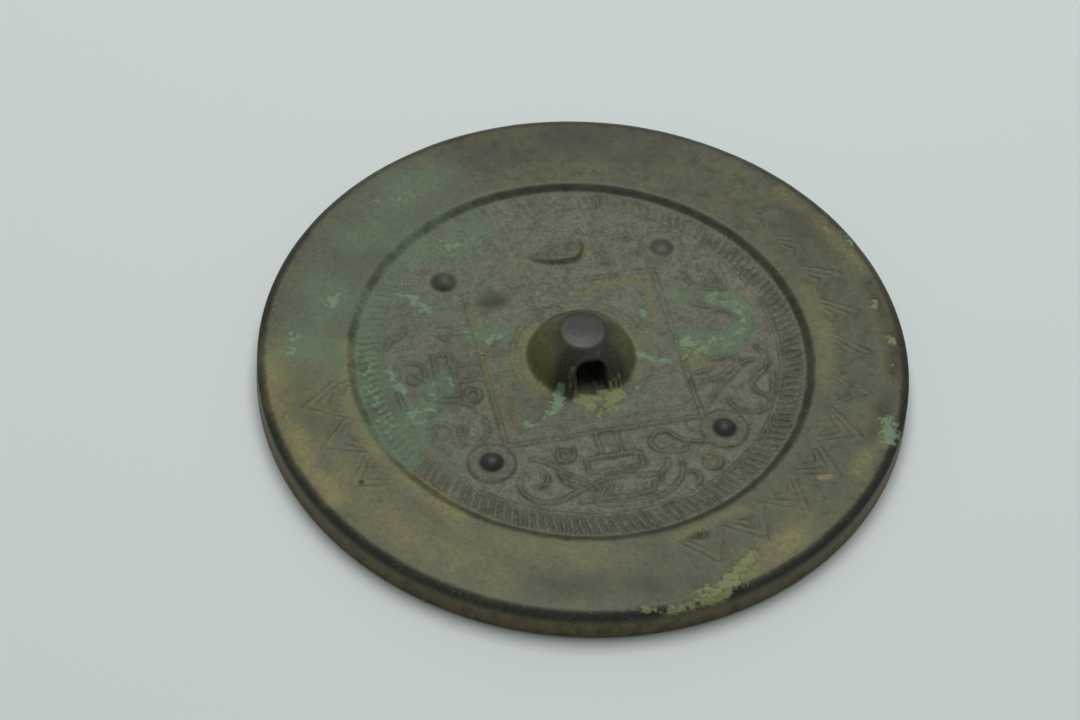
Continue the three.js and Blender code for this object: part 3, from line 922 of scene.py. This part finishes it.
class Bench:
    """Makes and joins the nodes of one material."""

    def __init__(self, name: str) -> None:
        """Starts an empty material.

        Args:
            name: Name of the material.
        """
        self.material = bpy.data.materials.new(name)
        self.material.use_nodes = True
        self.tree = self.material.node_tree
        self.tree.nodes.clear()

    def node(self, kind: str, settings: dict[str, Any] | None = None,
             inputs: dict[str | int, Any] | None = None, output: str | int = 0) -> Wire:
        """Adds a node.

        Args:
            kind: Type of the node.
            settings: Its own settings, set first.
            inputs: Values or wires for its sockets.
            output: Which of its outputs is wanted.

        Returns:
            The wire that leaves that output.
        """
        node = self.tree.nodes.new(kind)
        for name, value in (settings or {}).items():
            setattr(node, name, value)
        for name, value in (inputs or {}).items():
            self.feed(node.inputs[name], value)
        return Wire(self, node.outputs[output] if node.outputs else None)

    def feed(self, socket: bpy.types.NodeSocket, value: Any) -> None:
        """Sets a socket, or links it.

        Args:
            socket: The socket.
            value: Number, colour, vector or wire.
        """
        if isinstance(value, Wire):
            self.tree.links.new(value.socket, socket)
        else:
            socket.default_value = value

    def mix(self, share: Any, a: Any, b: Any, blend: str = "MIX") -> Wire:
        """Colour between two colours.

        Args:
            share: 0 for the first, 1 for the second.
            a: First colour.
            b: Second colour.
            blend: Way of mixing.

        Returns:
            The mixed colour.
        """
        settings = {"data_type": "RGBA", "blend_type": blend, "clamp_factor": True}
        return self.node("ShaderNodeMix", settings, {0: share, 6: a, 7: b}, 2)

    def place(self) -> Wire:
        """Object coordinates in millimetres."""
        spot = self.node("ShaderNodeTexCoord", output="Object")
        return self.node("ShaderNodeVectorMath", {"operation": "SCALE"},
                         {0: spot, "Scale": 1.0 / MM})

    def noise(self, place: Wire, size: float, detail: float = 3.0, rough: float = 0.55,
              warp: float = 0.0) -> Wire:
        """Cloudy value about 0.5.

        Args:
            place: Where, in millimetres.
            size: Size of the clouds in millimetres.
            detail: How many finer layers it has.
            rough: How strong the finer layers are.
            warp: How far it is distorted.

        Returns:
            The value.
        """
        return self.node("ShaderNodeTexNoise", {"noise_dimensions": "3D"},
                         {"Vector": place, "Scale": 1.0 / size, "Detail": detail,
                          "Roughness": rough, "Distortion": warp})

    def attribute(self, name: str) -> Wire:
        """Value kept at the mesh's points.

        Args:
            name: Name of the attribute.

        Returns:
            The value.
        """
        return self.node("ShaderNodeAttribute",
                         {"attribute_type": "GEOMETRY", "attribute_name": name}, output="Fac")

    def shaded(self, colour: Wire, light: Wire, share: Any, level: int) -> Wire:
        """Colour made darker where a value is low.

        Args:
            colour: The colour.
            light: 1 where it stays as it is, 0 where it is darkest.
            share: How far the change counts.
            level: Grey, 0 to 255, that darkens it most.

        Returns:
            The colour.
        """
        shade = self.mix(light, tone(level, level, level), tone(255, 255, 255))
        return self.mix(share, colour, self.mix(1.0, colour, shade, "MULTIPLY"))

    def finish(self, colour: Wire, roughness: Wire, metallic: Wire, coat: Wire, bump: Wire,
               depth: float, fixed: dict[str, Any]) -> bpy.types.Material:
        """Joins the shader.

        Args:
            colour: Base colour.
            roughness: Roughness.
            metallic: Share of bare metal.
            coat: Weight of the smooth skin over worn places.
            bump: Height of the fine bump.
            depth: Depth of the bump in metres.
            fixed: Shader sockets that are the same all over.

        Returns:
            The material.
        """
        normal = self.node("ShaderNodeBump", {}, {"Height": bump, "Distance": depth})
        shader = self.node("ShaderNodeBsdfPrincipled", {}, {
            "Base Color": colour, "Roughness": roughness, "Metallic": metallic,
            "Coat Weight": coat, "Normal": normal, **fixed})
        self.node("ShaderNodeOutputMaterial", {}, {"Surface": shader})
        return self.material


@dataclass(frozen=True)
class Patina:
    """Finish of the buried bronze: sandy field, satin rim, dark worn edges, ochre and greens, with painted shade in the
    creases, on the recess slope, in the cord hole and on the knob's front.
    """

    sand: tuple[int, int, int] = (130, 128, 105)
    sand_cool: tuple[int, int, int] = (121, 121, 103)
    rim: tuple[int, int, int] = (99, 96, 72)
    rim_cool: tuple[int, int, int] = (88, 88, 74)
    thread: tuple[int, int, int] = (114, 113, 96)
    # Painted shade and grime in the creases beside the raised lines.
    crease_dirt_and_shade: tuple[int, int, int] = (74, 71, 58)
    # Dark burnished metal on the bevel, crown and nubs, and painted shade on the recess slope.
    burnished_and_slope_shade: tuple[int, int, int] = (42, 44, 41)
    side: tuple[int, int, int] = (114, 104, 74)
    # Painted shade inside the cord hole.
    tunnel: tuple[int, int, int] = (66, 66, 52)
    ochre: tuple[int, int, int] = (120, 112, 72)
    # Dark tarnish, and painted shade on the knob's front about the cord hole's near mouth.
    shade: tuple[int, int, int] = (44, 43, 35)
    verdigris: tuple[int, int, int] = (108, 128, 102)
    mint: tuple[int, int, int] = (128, 152, 122)
    crust: tuple[int, int, int] = (136, 140, 98)

    def build(self) -> bpy.types.Material:
        """Makes the material.

        Returns:
            The material.
        """
        bench = Bench("bronze_patina")
        place = bench.place()
        cloud = bench.noise(place, 7.0, 4.0, 0.6, 0.8)
        drift = bench.noise(place, 2.4, 5.0, 0.66, 0.4)
        speck = bench.noise(place, 0.8, 4.0, 0.65)
        grain = bench.noise(place, 0.26, 2.0, 0.6)
        sandy = bench.attribute("sandy")
        burnish_and_slope_shade = bench.attribute("burnish_and_slope_shade")
        below = bench.attribute("below")
        tunnel = bench.attribute("tunnel")

        patchy = (0.6 * cloud + 0.4 * drift).ramp(0.4, 0.6)
        field_tone = bench.mix(patchy, tone(*self.sand), tone(*self.sand_cool))
        rim_tone = bench.mix(patchy, tone(*self.rim), tone(*self.rim_cool))
        colour = bench.mix(sandy, rim_tone, field_tone)
        colour = bench.mix(below, colour, tone(*self.side))
        colour = bench.mix(bench.attribute("relief").ramp(0.25, 0.9) * 0.85, colour,
                           tone(*self.thread))
        depth = (0.1 + 0.9 * sandy) * (1.0 - burnish_and_slope_shade)
        colour = bench.shaded(colour, grain.ramp(0.3, 0.62), depth, 204)
        colour = bench.shaded(colour, speck.ramp(0.3, 0.6), 0.5 + 0.5 * sandy, 216)
        colour = bench.shaded(colour, drift.ramp(0.32, 0.6), 1.0, 196)
        # Painted shade in the creases beside the raised lines, speckled like grime.
        crease_shade_and_dirt = bench.attribute("cavity").ramp(0.05, 0.9) * (0.2 + 0.9 * speck)
        colour = bench.mix(crease_shade_and_dirt, colour, tone(*self.crease_dirt_and_shade))

        roughness = drift.ramp(0.3, 0.7, 0.44, 0.56) + 0.1 * sandy
        metallic = cloud.ramp(0.2, 0.8, 0.3, 0.45) * (1.0 - 0.4 * sandy)
        height = grain * (0.2 + 0.8 * sandy) + speck
        ragged = speck.ramp(0.3, 0.7) * 0.6 + grain.ramp(0.3, 0.7) * 0.4
        stains = (
            (Stain.OCHRE, self.ochre, 0.8),
            # Dark tarnish, and painted shade on the knob's front.
            (Stain.TARNISH_AND_SHADE, self.shade, 0.9),
            (Stain.VERDIGRIS, self.verdigris, 0.8),
            (Stain.MINT, self.mint, 0.8),
            (Stain.CRUST, self.crust, 0.9),
        )
        # Dark burnished edges, crown and nubs, and painted shade on the recess slope.
        colour = bench.mix(burnish_and_slope_shade * (0.7 + 0.4 * drift), colour, tone(*self.burnished_and_slope_shade))
        for stain, shade, share in stains:
            amount = bench.attribute(stain.value)
            if stain.grainy:
                mask = (amount + 0.9 * (ragged - 0.5)).ramp(0.2, 0.95) * share
            else:
                mask = (amount * (0.45 + 1.1 * ragged)).at_most(1.0) * share
            colour = bench.mix(mask, colour, tone(*shade))
            if stain in (Stain.VERDIGRIS, Stain.MINT, Stain.CRUST):
                roughness = roughness + 0.3 * mask
                metallic = metallic * (1.0 - mask)
        # Painted shade inside the cord hole, darker deeper in.
        colour = bench.mix(tunnel, colour, tone(*self.tunnel))
        roughness = (roughness - 0.1 * burnish_and_slope_shade).at_most(0.95)
        height = height * (1.0 - 0.7 * burnish_and_slope_shade)
        coat = burnish_and_slope_shade * 0.06 * (1.0 - tunnel)
        return bench.finish(colour, roughness, metallic * (1.0 - tunnel) * (1.0 - 0.6 * burnish_and_slope_shade), coat, height, 0.00005,
                            {"Specular IOR Level": 0.32, "Coat Roughness": 0.2})


# ------------------------------------------------------------------ the casting

@dataclass
class Casting:
    """The one piece: mesh of the whole mirror."""

    form: Form
    field_ornament: FieldOrnament = field(default_factory=FieldOrnament)
    rim_ornament: RimOrnament = field(default_factory=RimOrnament)
    segments: int = 216
    fine_edge: float = 0.4
    field_edge: float = 1.0
    rim_edge: float = 1.8
    knob_edge: float = 0.45
    slope_edge: float = 0.6
    grain_edge: float = 0.5
    relief: ReliefMap = field(default_factory=ReliefMap)
    layers: dict[str, np.ndarray] = field(default_factory=dict)

    def carve(self) -> None:
        """Draws the relief, its wear, the stains and the creases, with the painted shade they carry, on their maps."""
        rng = np.random.default_rng(SEED)
        relief = self.relief
        dx, dy = self.form.field_centre
        self.field_ornament.draw(relief, self.form.field_centre)
        self.rim_ornament.draw(relief)
        self.wear(rng)
        for boss in self.field_ornament.bosses:
            self.field_ornament.draw_boss(relief, np.array([dx, dy]), boss)
        self.draw_ledge()
        relief.raise_dome((dx - 3.6, dy - 7.4), 1.1, 1.9, 75, 1.35, 0.8)
        self.layers["relief"] = relief.blurred(relief.heights, 0.06)
        # How far each place lies below its surroundings: the finish paints shade and grime there.
        broad = relief.blurred(relief.heights, 0.4)
        self.layers["cavity"] = np.clip(broad - relief.heights, 0.0, None)
        self.lay_stains(rng)
        crumbs = relief.noise(0.7, rng) * 0.6 + relief.noise(0.35, rng) * 0.4
        relief.heights += self.layers["crust"] * (0.02 + 0.3 * crumbs)
        relief.heights += self.layers["mint"] * 0.1 * crumbs
        for x, y, size, deep in ((-11.9, -37.8, 0.5, 0.45), (9.1, -41.0, 0.4, 0.25),
                                 (10.2, -40.7, 0.3, 0.2), (-41.9, -20.4, 0.35, 0.25),
                                 (-39.6, -24.8, 0.4, 0.2), (-26.6, 15.0, 0.5, 0.25)):
            relief.raise_dome((x, y), size, -deep, power=1.0)
        for _ in range(260):
            radius, azimuth = 54.0 * math.sqrt(rng.random()), 360.0 * rng.random()
            size, deep = 0.12 + 0.22 * rng.random() ** 2, 0.03 + 0.07 * rng.random()
            relief.raise_dome(polar(radius, azimuth), size, -deep, power=1.0)
        swell = relief.noise(7.0, rng) + 0.5 * relief.noise(3.0, rng) + 0.25 * relief.noise(1.2, rng)
        relief.heights += 0.09 * (swell - 0.87)
        relief.heights = relief.blurred(relief.heights, 0.05)

    def wear(self, rng: np.random.Generator) -> None:
        """Makes the drawn lines uneven and rubs down the worn parts.

        Args:
            rng: Source of the random numbers.
        """
        relief = self.relief
        x, y = np.meshgrid(relief.axis, relief.axis)
        ragged_x = 0.2 * (relief.noise(0.9, rng) - 0.5) + 0.14 * (relief.noise(0.4, rng) - 0.5)
        ragged_y = 0.2 * (relief.noise(0.9, rng) - 0.5) + 0.14 * (relief.noise(0.4, rng) - 0.5)
        heights = relief.sample(relief.heights, x + ragged_x, y + ragged_y)
        heights *= 0.5 + 0.7 * relief.noise(2.6, rng)
        heights *= 1.0 - 0.35 * smoothstep(2.0, 24.0, y)
        for centre, reach, left in (((-19, 27), 14, 0.2), ((0, 33), 12, 0.4), ((-26, 16), 8, 0.5),
                                    ((-4, 16), 9, 0.5), ((14, 0), 8, 0.55)):
            away = np.hypot(x - centre[0], y - centre[1])
            heights *= left + (1.0 - left) * smoothstep(0.4 * reach, reach, away)
        relief.heights = heights.astype(np.float32)

    def lay_stains(self, rng: np.random.Generator) -> None:
        """Draws the stains, with the painted shade on the knob's front: hazes with clouded edges, and grains in ragged
        clusters.

        Args:
            rng: Source of the random numbers.
        """
        relief = self.relief
        haze = 0.5 * relief.noise(4.6, rng) + 0.3 * relief.noise(1.9, rng) + 0.2 * relief.noise(
            0.8, rng)
        grains = 0.25 * relief.noise(2.4, rng) + 0.3 * relief.noise(1.0, rng) + 0.45 * relief.noise(
            0.5, rng)
        inner = self.form.field_radius(*np.meshgrid(relief.axis, relief.axis))
        off_knob = smoothstep(self.form.knob_radius - 2.6, self.form.knob_radius - 0.2, inner)
        for stain in Stain:
            layer = np.zeros_like(relief.heights)
            for reach, strength, line in FIELD_STAINS[stain]:
                lay(layer, relief, np.array(line) + self.form.field_centre, reach, strength)
            for reach, strength, line in RIM_STAINS[stain]:
                spots = np.array([polar(radius, azimuth) for azimuth, radius in line])
                lay(layer, relief, spots, reach, strength)
            if stain.grainy:
                edge = smoothstep(0.0, 0.3, layer) * off_knob
                layer = smoothstep(0.3, 0.9, layer + 1.7 * (grains - 0.5)) * edge
            else:
                layer = np.clip(layer * (1.0 + 2.4 * (haze - 0.5)), 0.0, 1.0)
            self.layers[stain.value] = layer.astype(np.float32)

    def draw_ledge(self) -> None:
        """Raises the casting flaw above the square: a tongue with a steep curved near face."""
        dx, dy = self.form.field_centre
        part, x, y = self.relief.window((-9, 17), (9, 31))
        front = smooth_line([(-5.2, 27.2), (-4.6, 24.4), (-3.3, 22.7), (-0.9, 21.4), (2.1, 20.9),
                             (4.4, 21.2), (5.6, 22.6), (6.05, 24.4), (5.9, 26.4)], 0.3)
        front = front + (dx, dy)
        away = np.full(x.shape, 1e9)
        inside = np.zeros(x.shape, bool)
        for a, b in zip(front, np.roll(front, -1, axis=0)):
            d = b - a
            t = np.clip(((x - a[0]) * d[0] + (y - a[1]) * d[1]) / float(d @ d), 0.0, 1.0)
            away = np.minimum(away, np.hypot(x - a[0] - t * d[0], y - a[1] - t * d[1]))
            crosses = (a[1] > y) != (b[1] > y)
            at = a[0] + (y - a[1]) * d[0] / (d[1] if abs(d[1]) > 1e-9 else 1e-9)
            inside ^= crosses & (x < at)
        fall = 1.0 - 0.85 * smoothstep(20.5 + dy, 26.0 + dy, y - 0.25 * (x - dx))
        lump = 0.85 * smoothstep(-0.1, 0.55, np.where(inside, away, -away)) * fall
        self.relief.heights[part] = np.maximum(self.relief.heights[part], lump)

    def edge_targets(self) -> np.ndarray:
        """Longest edge that the mesh may keep at each place of the map.

        Returns:
            Lengths on the map's lattice.
        """
        relief = self.relief
        x, y = np.meshgrid(relief.axis, relief.axis)
        total = relief.heights + self.form.top(x, y).astype(np.float32)
        gy, gx = np.gradient(total, relief.cell)
        slope = relief.blurred(np.hypot(gx, gy), 0.12)
        disc, inner = np.hypot(x, y), self.form.field_radius(x, y)
        plain = np.where(inner < self.form.slope_foot + 2.0, self.field_edge, self.rim_edge)
        target = np.clip(plain * (1.0 - smoothstep(0.06, 0.32, slope)), self.fine_edge, plain)
        knob = inner < self.form.knob_radius + 0.3
        slopes = (inner > self.form.slope_foot - 0.3) & (inner < self.form.slope_foot + 2.2)
        target = np.where(knob, self.knob_edge, target)
        target = np.where(slopes, np.maximum(target, self.slope_edge), target)
        target = np.where(disc > self.form.bevel_start, np.clip(target, 0.7, 1.6), target)
        stained = np.maximum(self.layers["crust"], self.layers["mint"])
        return np.where(stained > 0.3, np.minimum(target, self.grain_edge), target).astype(np.float32)

    def spin_band(self, bm: bmesh.types.BMesh, profile: Sequence[tuple[float, float]],
                  segments: int) -> None:
        """Spins a profile into a band of the blank.

        Args:
            bm: Mesh to add to.
            profile: Radius and height of its points.
            segments: How many steps the full turn has.
        """
        verts = [bm.verts.new((radius, 0.0, height)) for radius, height in profile]
        edges = [bm.edges.new(pair) for pair in zip(verts[:-1], verts[1:])]
        bmesh.ops.spin(bm, geom=verts + edges, cent=(0, 0, 0), axis=(0, 0, 1),
                       angle=2 * math.pi, steps=segments, use_merge=True)

    def blank(self) -> bmesh.types.BMesh:
        """Makes the closed blank with a flat top, its rings coarser towards the middle.

        Returns:
            The blank's mesh, all triangles.
        """
        form = self.form
        bm = bmesh.new()
        edge = form.radius - form.side_lean
        outer = [(form.bevel_start + form.bevel * t, form.rim_top - (form.rim_top - form.crisp_edge)
                  * t ** 1.73) for t in np.linspace(1.0, 0.0, 7)]
        side = [(form.radius + (edge - form.radius) * t, form.foot + (form.crisp_edge - form.foot) * t)
                for t in (0.0, 0.33, 0.66)]
        rings = [form.bevel_start - 1.55 * i for i in range(1, 13)]
        under = [(0.0, 0.0), (20.0, 0.0), (40.0, 0.0), (form.radius - form.foot, 0.0)]
        profile = under + side + outer + [(r, form.rim_top) for r in rings]
        self.spin_band(bm, profile, self.segments)
        join = rings[-1]
        for share in (2, 4, 8):
            start, end = join - 1.6 * share / 2, max(join * 0.5, 0.0)
            count = max(2, round((start - end) / (1.5 * share ** 0.5)))
            radii = list(np.linspace(start, end if share < 8 else 0.0, count))
            self.spin_band(bm, [(r, form.rim_top) for r in radii], self.segments // share)
            self.bridge(bm, join, start)
            join = radii[-1]
        bmesh.ops.remove_doubles(bm, verts=bm.verts[:], dist=1e-4)
        bmesh.ops.recalc_face_normals(bm, faces=bm.faces[:])
        bmesh.ops.triangulate(bm, faces=bm.faces[:])
        return bm

    def bridge(self, bm: bmesh.types.BMesh, one: float, other: float) -> None:
        """Bridges the open loops of two neighbouring bands.

        Args:
            bm: Mesh with the bands.
            one: Radius of the first loop.
            other: Radius of the second loop.
        """
        bmesh.ops.remove_doubles(bm, verts=bm.verts[:], dist=1e-4)
        top = self.form.rim_top - 1e-3
        loops = []
        for e in bm.edges:
            if not e.is_boundary or min(v.co.z for v in e.verts) < top:
                continue
            radii = [v.co.xy.length for v in e.verts]
            if all(abs(r - one) < 0.02 for r in radii) or all(abs(r - other) < 0.02 for r in radii):
                loops.append(e)
        bmesh.ops.bridge_loops(bm, edges=loops)

    def refine(self, bm: bmesh.types.BMesh) -> None:
        """Splits edges of the top until each is short enough for its place.

        Args:
            bm: The blank's mesh.
        """
        targets = self.edge_targets()
        lowest = self.form.crisp_edge - 0.01
        for _ in range(8):
            bm.verts.index_update()
            co = np.array([v.co[:] for v in bm.verts])
            edges = list(bm.edges)
            pairs = np.array([(e.verts[0].index, e.verts[1].index) for e in edges])
            a, b = co[pairs[:, 0]], co[pairs[:, 1]]
            length = np.linalg.norm(a - b, axis=1)
            target = np.full(len(edges), 1e9)
            for t in (0.0, 0.25, 0.5, 0.75, 1.0):
                spot = a + (b - a) * t
                target = np.minimum(target, self.relief.sample(targets, spot[:, 0], spot[:, 1]))
            chosen = (length > target) & (a[:, 2] > lowest) & (b[:, 2] > lowest)
            long = [edges[i] for i in np.flatnonzero(chosen)]
            if not long:
                break
            bmesh.ops.subdivide_edges(bm, edges=long, cuts=1, use_grid_fill=True)
            bmesh.ops.triangulate(bm, faces=[f for f in bm.faces if len(f.verts) > 3],
                                  quad_method="SHORT_EDGE", ngon_method="BEAUTY")
            LOG.info("refined to %d faces", len(bm.faces))

    def lift(self, bm: bmesh.types.BMesh) -> None:
        """Lifts the top to its form and relief.

        Args:
            bm: The refined mesh.
        """
        lowest = self.form.crisp_edge - 0.01
        verts = [v for v in bm.verts if v.co.z > lowest]
        co = np.array([v.co[:] for v in verts])
        x, y = co[:, 0], co[:, 1]
        height = self.form.top(x, y) + self.relief.sample(self.relief.heights, x, y)
        for v, z in zip(verts, height):
            v.co.z = float(z)

    def pierce(self, bm: bmesh.types.BMesh) -> None:
        """Opens both mouths of the cord hole and joins them by a tunnel.

        Args:
            bm: The lifted mesh.
        """
        form = self.form
        cx, cy = form.field_centre

        def depth(x: np.ndarray, y: np.ndarray) -> np.ndarray:
            """Signed distance to the arch at places of the knob's surface."""
            return form.arch(x - cx, form.knob(form.field_radius(x, y)))

        centres = [f.calc_center_median() for f in bm.faces]
        x = np.array([c.x for c in centres])
        y = np.array([c.y for c in centres])
        z = np.array([c.z for c in centres])
        inside = (depth(x, y) < 0) & (form.field_radius(x, y) < form.knob_radius - 0.1) & (z > 3.0)
        faces = list(bm.faces)
        doomed = [faces[i] for i in np.flatnonzero(inside)]
        bmesh.ops.delete(bm, geom=doomed, context="FACES")
        rim = [v for v in bm.verts if v.is_boundary]
        for v in rim:
            for _ in range(6):
                px, py = np.array([v.co.x]), np.array([v.co.y])
                d = float(depth(px, py)[0])
                if abs(d) > 0.6 or float(form.field_radius(px, py)[0]) > form.knob_radius - 0.15:
                    break
                step = 0.02
                gx = float(depth(px + step, py)[0] - d) / step
                gy = float(depth(px, py + step)[0] - d) / step
                square = max(gx * gx + gy * gy, 0.05)
                v.co.x -= 0.8 * d * gx / square
                v.co.y -= 0.8 * d * gy / square
            px, py = np.array([v.co.x]), np.array([v.co.y])
            v.co.z = float(form.top(px, py)[0])
        # Each ring sunk into the mouths holds a share of painted shade for the hole's walls, darker deeper in.
        tunnel = bm.verts.layers.float.new("tunnel")
        for inwards, narrow, dark in ((0.3, 0.92, 0.35), (0.5, 0.92, 0.8), (0.8, 0.97, 1.0)):
            for v in self.sink_mouths(bm, inwards, narrow):
                v[tunnel] = dark
        loops = [e for e in bm.edges if e.is_boundary]
        made = bmesh.ops.bridge_loops(bm, edges=loops)["faces"]
        bmesh.ops.triangulate(bm, faces=made)

    def sink_mouths(self, bm: bmesh.types.BMesh, inwards: float,
                    narrow: float) -> list[bmesh.types.BMVert]:
        """Extrudes the open edge of each mouth a little way into the knob.

        Args:
            bm: The mesh with open mouths.
            inwards: How far along the hole.
            narrow: How far the mouth narrows over the field.

        Returns:
            The new points.
        """
        form = self.form
        cx, cy = form.field_centre
        rim = [e for e in bm.edges if e.is_boundary]
        made = bmesh.ops.extrude_edge_only(bm, edges=rim)["geom"]
        verts = [g for g in made if isinstance(g, bmesh.types.BMVert)]
        for v in verts:
            side = 1.0 if v.co.y > cy else -1.0
            v.co.y -= side * inwards
            v.co.x = cx + (v.co.x - cx) * narrow
            v.co.z = form.floor + (v.co.z - form.floor) * narrow
        return verts

    def build(self) -> bpy.types.Object:
        """Makes the mesh object.

        Returns:
            The object, in metres.
        """
        self.carve()
        bm = self.blank()
        LOG.info("blank of %d faces", len(bm.faces))
        self.refine(bm)
        self.lift(bm)
        self.pierce(bm)
        for e in bm.edges:
            if max(v.co.z for v in e.verts) < self.form.foot + 0.01:
                e.smooth = False
        for f in bm.faces:
            f.smooth = True
        bmesh.ops.recalc_face_normals(bm, faces=bm.faces[:])
        mesh = bpy.data.meshes.new("mirror_casting")
        bm.to_mesh(mesh)
        bm.free()
        self.write_layers(mesh)
        mesh.transform(Matrix.Scale(MM, 4))
        piece = bpy.data.objects.new("mirror_casting", mesh)
        bpy.context.scene.collection.objects.link(piece)
        return piece

    def write_layers(self, mesh: bpy.types.Mesh) -> None:
        """Keeps relief, creases for painted shade, worn places with painted shade on the recess slope, and stains at
        the mesh's points.

        Args:
            mesh: The mesh, still in millimetres.
        """
        form = self.form
        co = np.empty(len(mesh.vertices) * 3, np.float32)
        mesh.vertices.foreach_get("co", co)
        x, y, z = co.reshape(-1, 3).T
        tunnel = np.empty(len(mesh.vertices), np.float32)
        mesh.attributes["tunnel"].data.foreach_get("value", tunnel)
        disc, inner = np.hypot(x, y), form.field_radius(x, y)
        top = z > form.floor - 0.6
        values = {name: self.relief.sample(layer, x, y) for name, layer in self.layers.items()}
        values["relief"] = values["relief"] / 0.32 * (inner > form.knob_radius + 0.6)
        values["cavity"] = values["cavity"] / 0.1
        sill = (tunnel > 0) * (tunnel < 0.5) * (z < form.floor + 1.2) * (y < form.field_centre[1])
        edge = smoothstep(form.bevel_start - 0.2, form.bevel_start + 1.1, disc)
        edge = edge * smoothstep(form.crisp_edge - 0.3, form.crisp_edge - 0.05, z)
        # The recess slope is darkened at 0.45 of the full share: painted shade.
        slope = smoothstep(form.slope_foot - 0.1, form.slope_foot + 0.7, inner)
        slope = slope * (1.0 - smoothstep(form.slope_foot + 1.2, form.slope_foot + 2.2, inner))
        crown = 1.0 - smoothstep(form.crown_radius, form.crown_radius + 1.4, inner)
        wear_and_slope_shade = np.maximum(np.maximum(edge, 0.45 * slope), crown)
        for boss in self.field_ornament.bosses:
            away = np.hypot(x - boss.at[0] - form.field_centre[0],
                            y - boss.at[1] - form.field_centre[1])
            wear_and_slope_shade = np.maximum(wear_and_slope_shade, boss.nub * (1.0 - smoothstep(1.6, 2.5, away)))
        values["burnish_and_slope_shade"] = wear_and_slope_shade
        values["sandy"] = 1.0 - smoothstep(form.slope_foot - 0.3, form.slope_foot + 0.3, inner)
        values["sandy"] *= smoothstep(form.knob_radius - 1.0, form.knob_radius + 0.4, inner)
        for name, value in values.items():
            value = value * (1.0 - tunnel)
            if name == Stain.CRUST.value:
                value = np.maximum(value, 0.75 * sill)
            attribute = mesh.attributes.new(name, "FLOAT", "POINT")
            attribute.data.foreach_set("value", np.clip(value * top, 0.0, 1.0).astype(np.float32))
        mesh.attributes["tunnel"].data.foreach_set("value", tunnel * (1.0 - 0.9 * sill))
        below = 1.0 - smoothstep(form.crisp_edge - 0.35, form.crisp_edge - 0.1, z)
        below = (below * (disc > form.bevel_start)).astype(np.float32)
        mesh.attributes.new("below", "FLOAT", "POINT").data.foreach_set("value", below)

    def dress(self, piece: bpy.types.Object) -> None:
        """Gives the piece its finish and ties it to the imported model.

        Args:
            piece: The mesh object.
        """
        piece.data.materials.append(Patina().build())
        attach(piece, BODY)
        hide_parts(NODE)


# ------------------------------------------------------------------ stage

@dataclass(frozen=True)
class Studio:
    """Pale floor, soft light and the camera."""

    floor_half: float = 3.0
    floor_tone: tuple[int, int, int] = (226, 231, 229)
    camera_at: tuple[float, float, float] = (-88.53, -290.59, 359.73)
    right: tuple[float, float, float] = (0.97386, -0.22383, 0.03882)
    up: tuple[float, float, float] = (0.14646, 0.74923, 0.64591)
    lens: float = 92.55

    def build(self) -> None:
        """Makes floor, lights, world and camera."""
        self.make_floor()
        self.make_lights()
        self.make_camera()

    def make_floor(self) -> None:
        """Makes the plain floor."""
        bm = bmesh.new()
        bmesh.ops.create_grid(bm, x_segments=1, y_segments=1, size=self.floor_half)
        mesh = bpy.data.meshes.new("floor")
        bm.to_mesh(mesh)
        bm.free()
        floor = bpy.data.objects.new("floor", mesh)
        bpy.context.scene.collection.objects.link(floor)
        bench = Bench("pale_floor")
        shader = bench.node("ShaderNodeBsdfPrincipled", {}, {
            "Base Color": tone(*self.floor_tone), "Roughness": 0.6, "Specular IOR Level": 0.2})
        bench.node("ShaderNodeOutputMaterial", {}, {"Surface": shader})
        mesh.materials.append(bench.material)

    def make_lights(self) -> None:
        """Makes the soft light and the world."""
        world = bpy.data.worlds.new("studio")
        world.use_nodes = True
        back = world.node_tree.nodes["Background"]
        back.inputs["Color"].default_value = (0.93, 0.99, 1.0, 1.0)
        back.inputs["Strength"].default_value = 0.2
        bpy.context.scene.world = world
        for name, at, size, power in (
                ("softbox_top", (0.1, 0.34, 1.05), 0.75, 7.8),
                ("softbox_back", (0.3, 1.3, 1.0), 0.8, 1.6)):
            lamp = bpy.data.lights.new(name, "AREA")
            lamp.shape = "SQUARE"
            lamp.size = size
            lamp.energy = power
            lamp.color = (0.97, 1.0, 0.99)
            holder = bpy.data.objects.new(name, lamp)
            holder.matrix_world = Matrix.Translation(at) @ Vector(at).to_track_quat(
                "Z", "Y").to_matrix().to_4x4()
            bpy.context.scene.collection.objects.link(holder)
        bpy.context.scene.view_settings.view_transform = "Standard"

    def make_camera(self) -> None:
        """Makes the camera at its measured place."""
        lens = bpy.data.cameras.new("camera")
        lens.sensor_width = 36.0
        lens.lens = self.lens
        lens.clip_start = 0.01
        camera = bpy.data.objects.new("camera", lens)
        right = Vector(self.right).normalized()
        up = (Vector(self.up) - right * right.dot(Vector(self.up))).normalized()
        turn = Matrix((right, up, right.cross(up))).transposed().to_4x4()
        camera.matrix_world = Matrix.Translation(Vector(self.camera_at) * MM) @ turn
        bpy.context.scene.collection.objects.link(camera)
        bpy.context.scene.camera = camera


def main() -> None:
    """Builds the studio and the mirror."""
    logging.basicConfig(level=logging.INFO, format="%(name)s: %(message)s")
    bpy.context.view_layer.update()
    low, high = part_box(NODE)
    Studio().build()
    casting = Casting(Form(radius=(high.x - low.x) / 2 / MM))
    piece = casting.build()
    casting.dress(piece)
    LOG.info("%s has %d triangles", piece.name, len(piece.data.polygons))


if __name__ == "__main__":
    main()
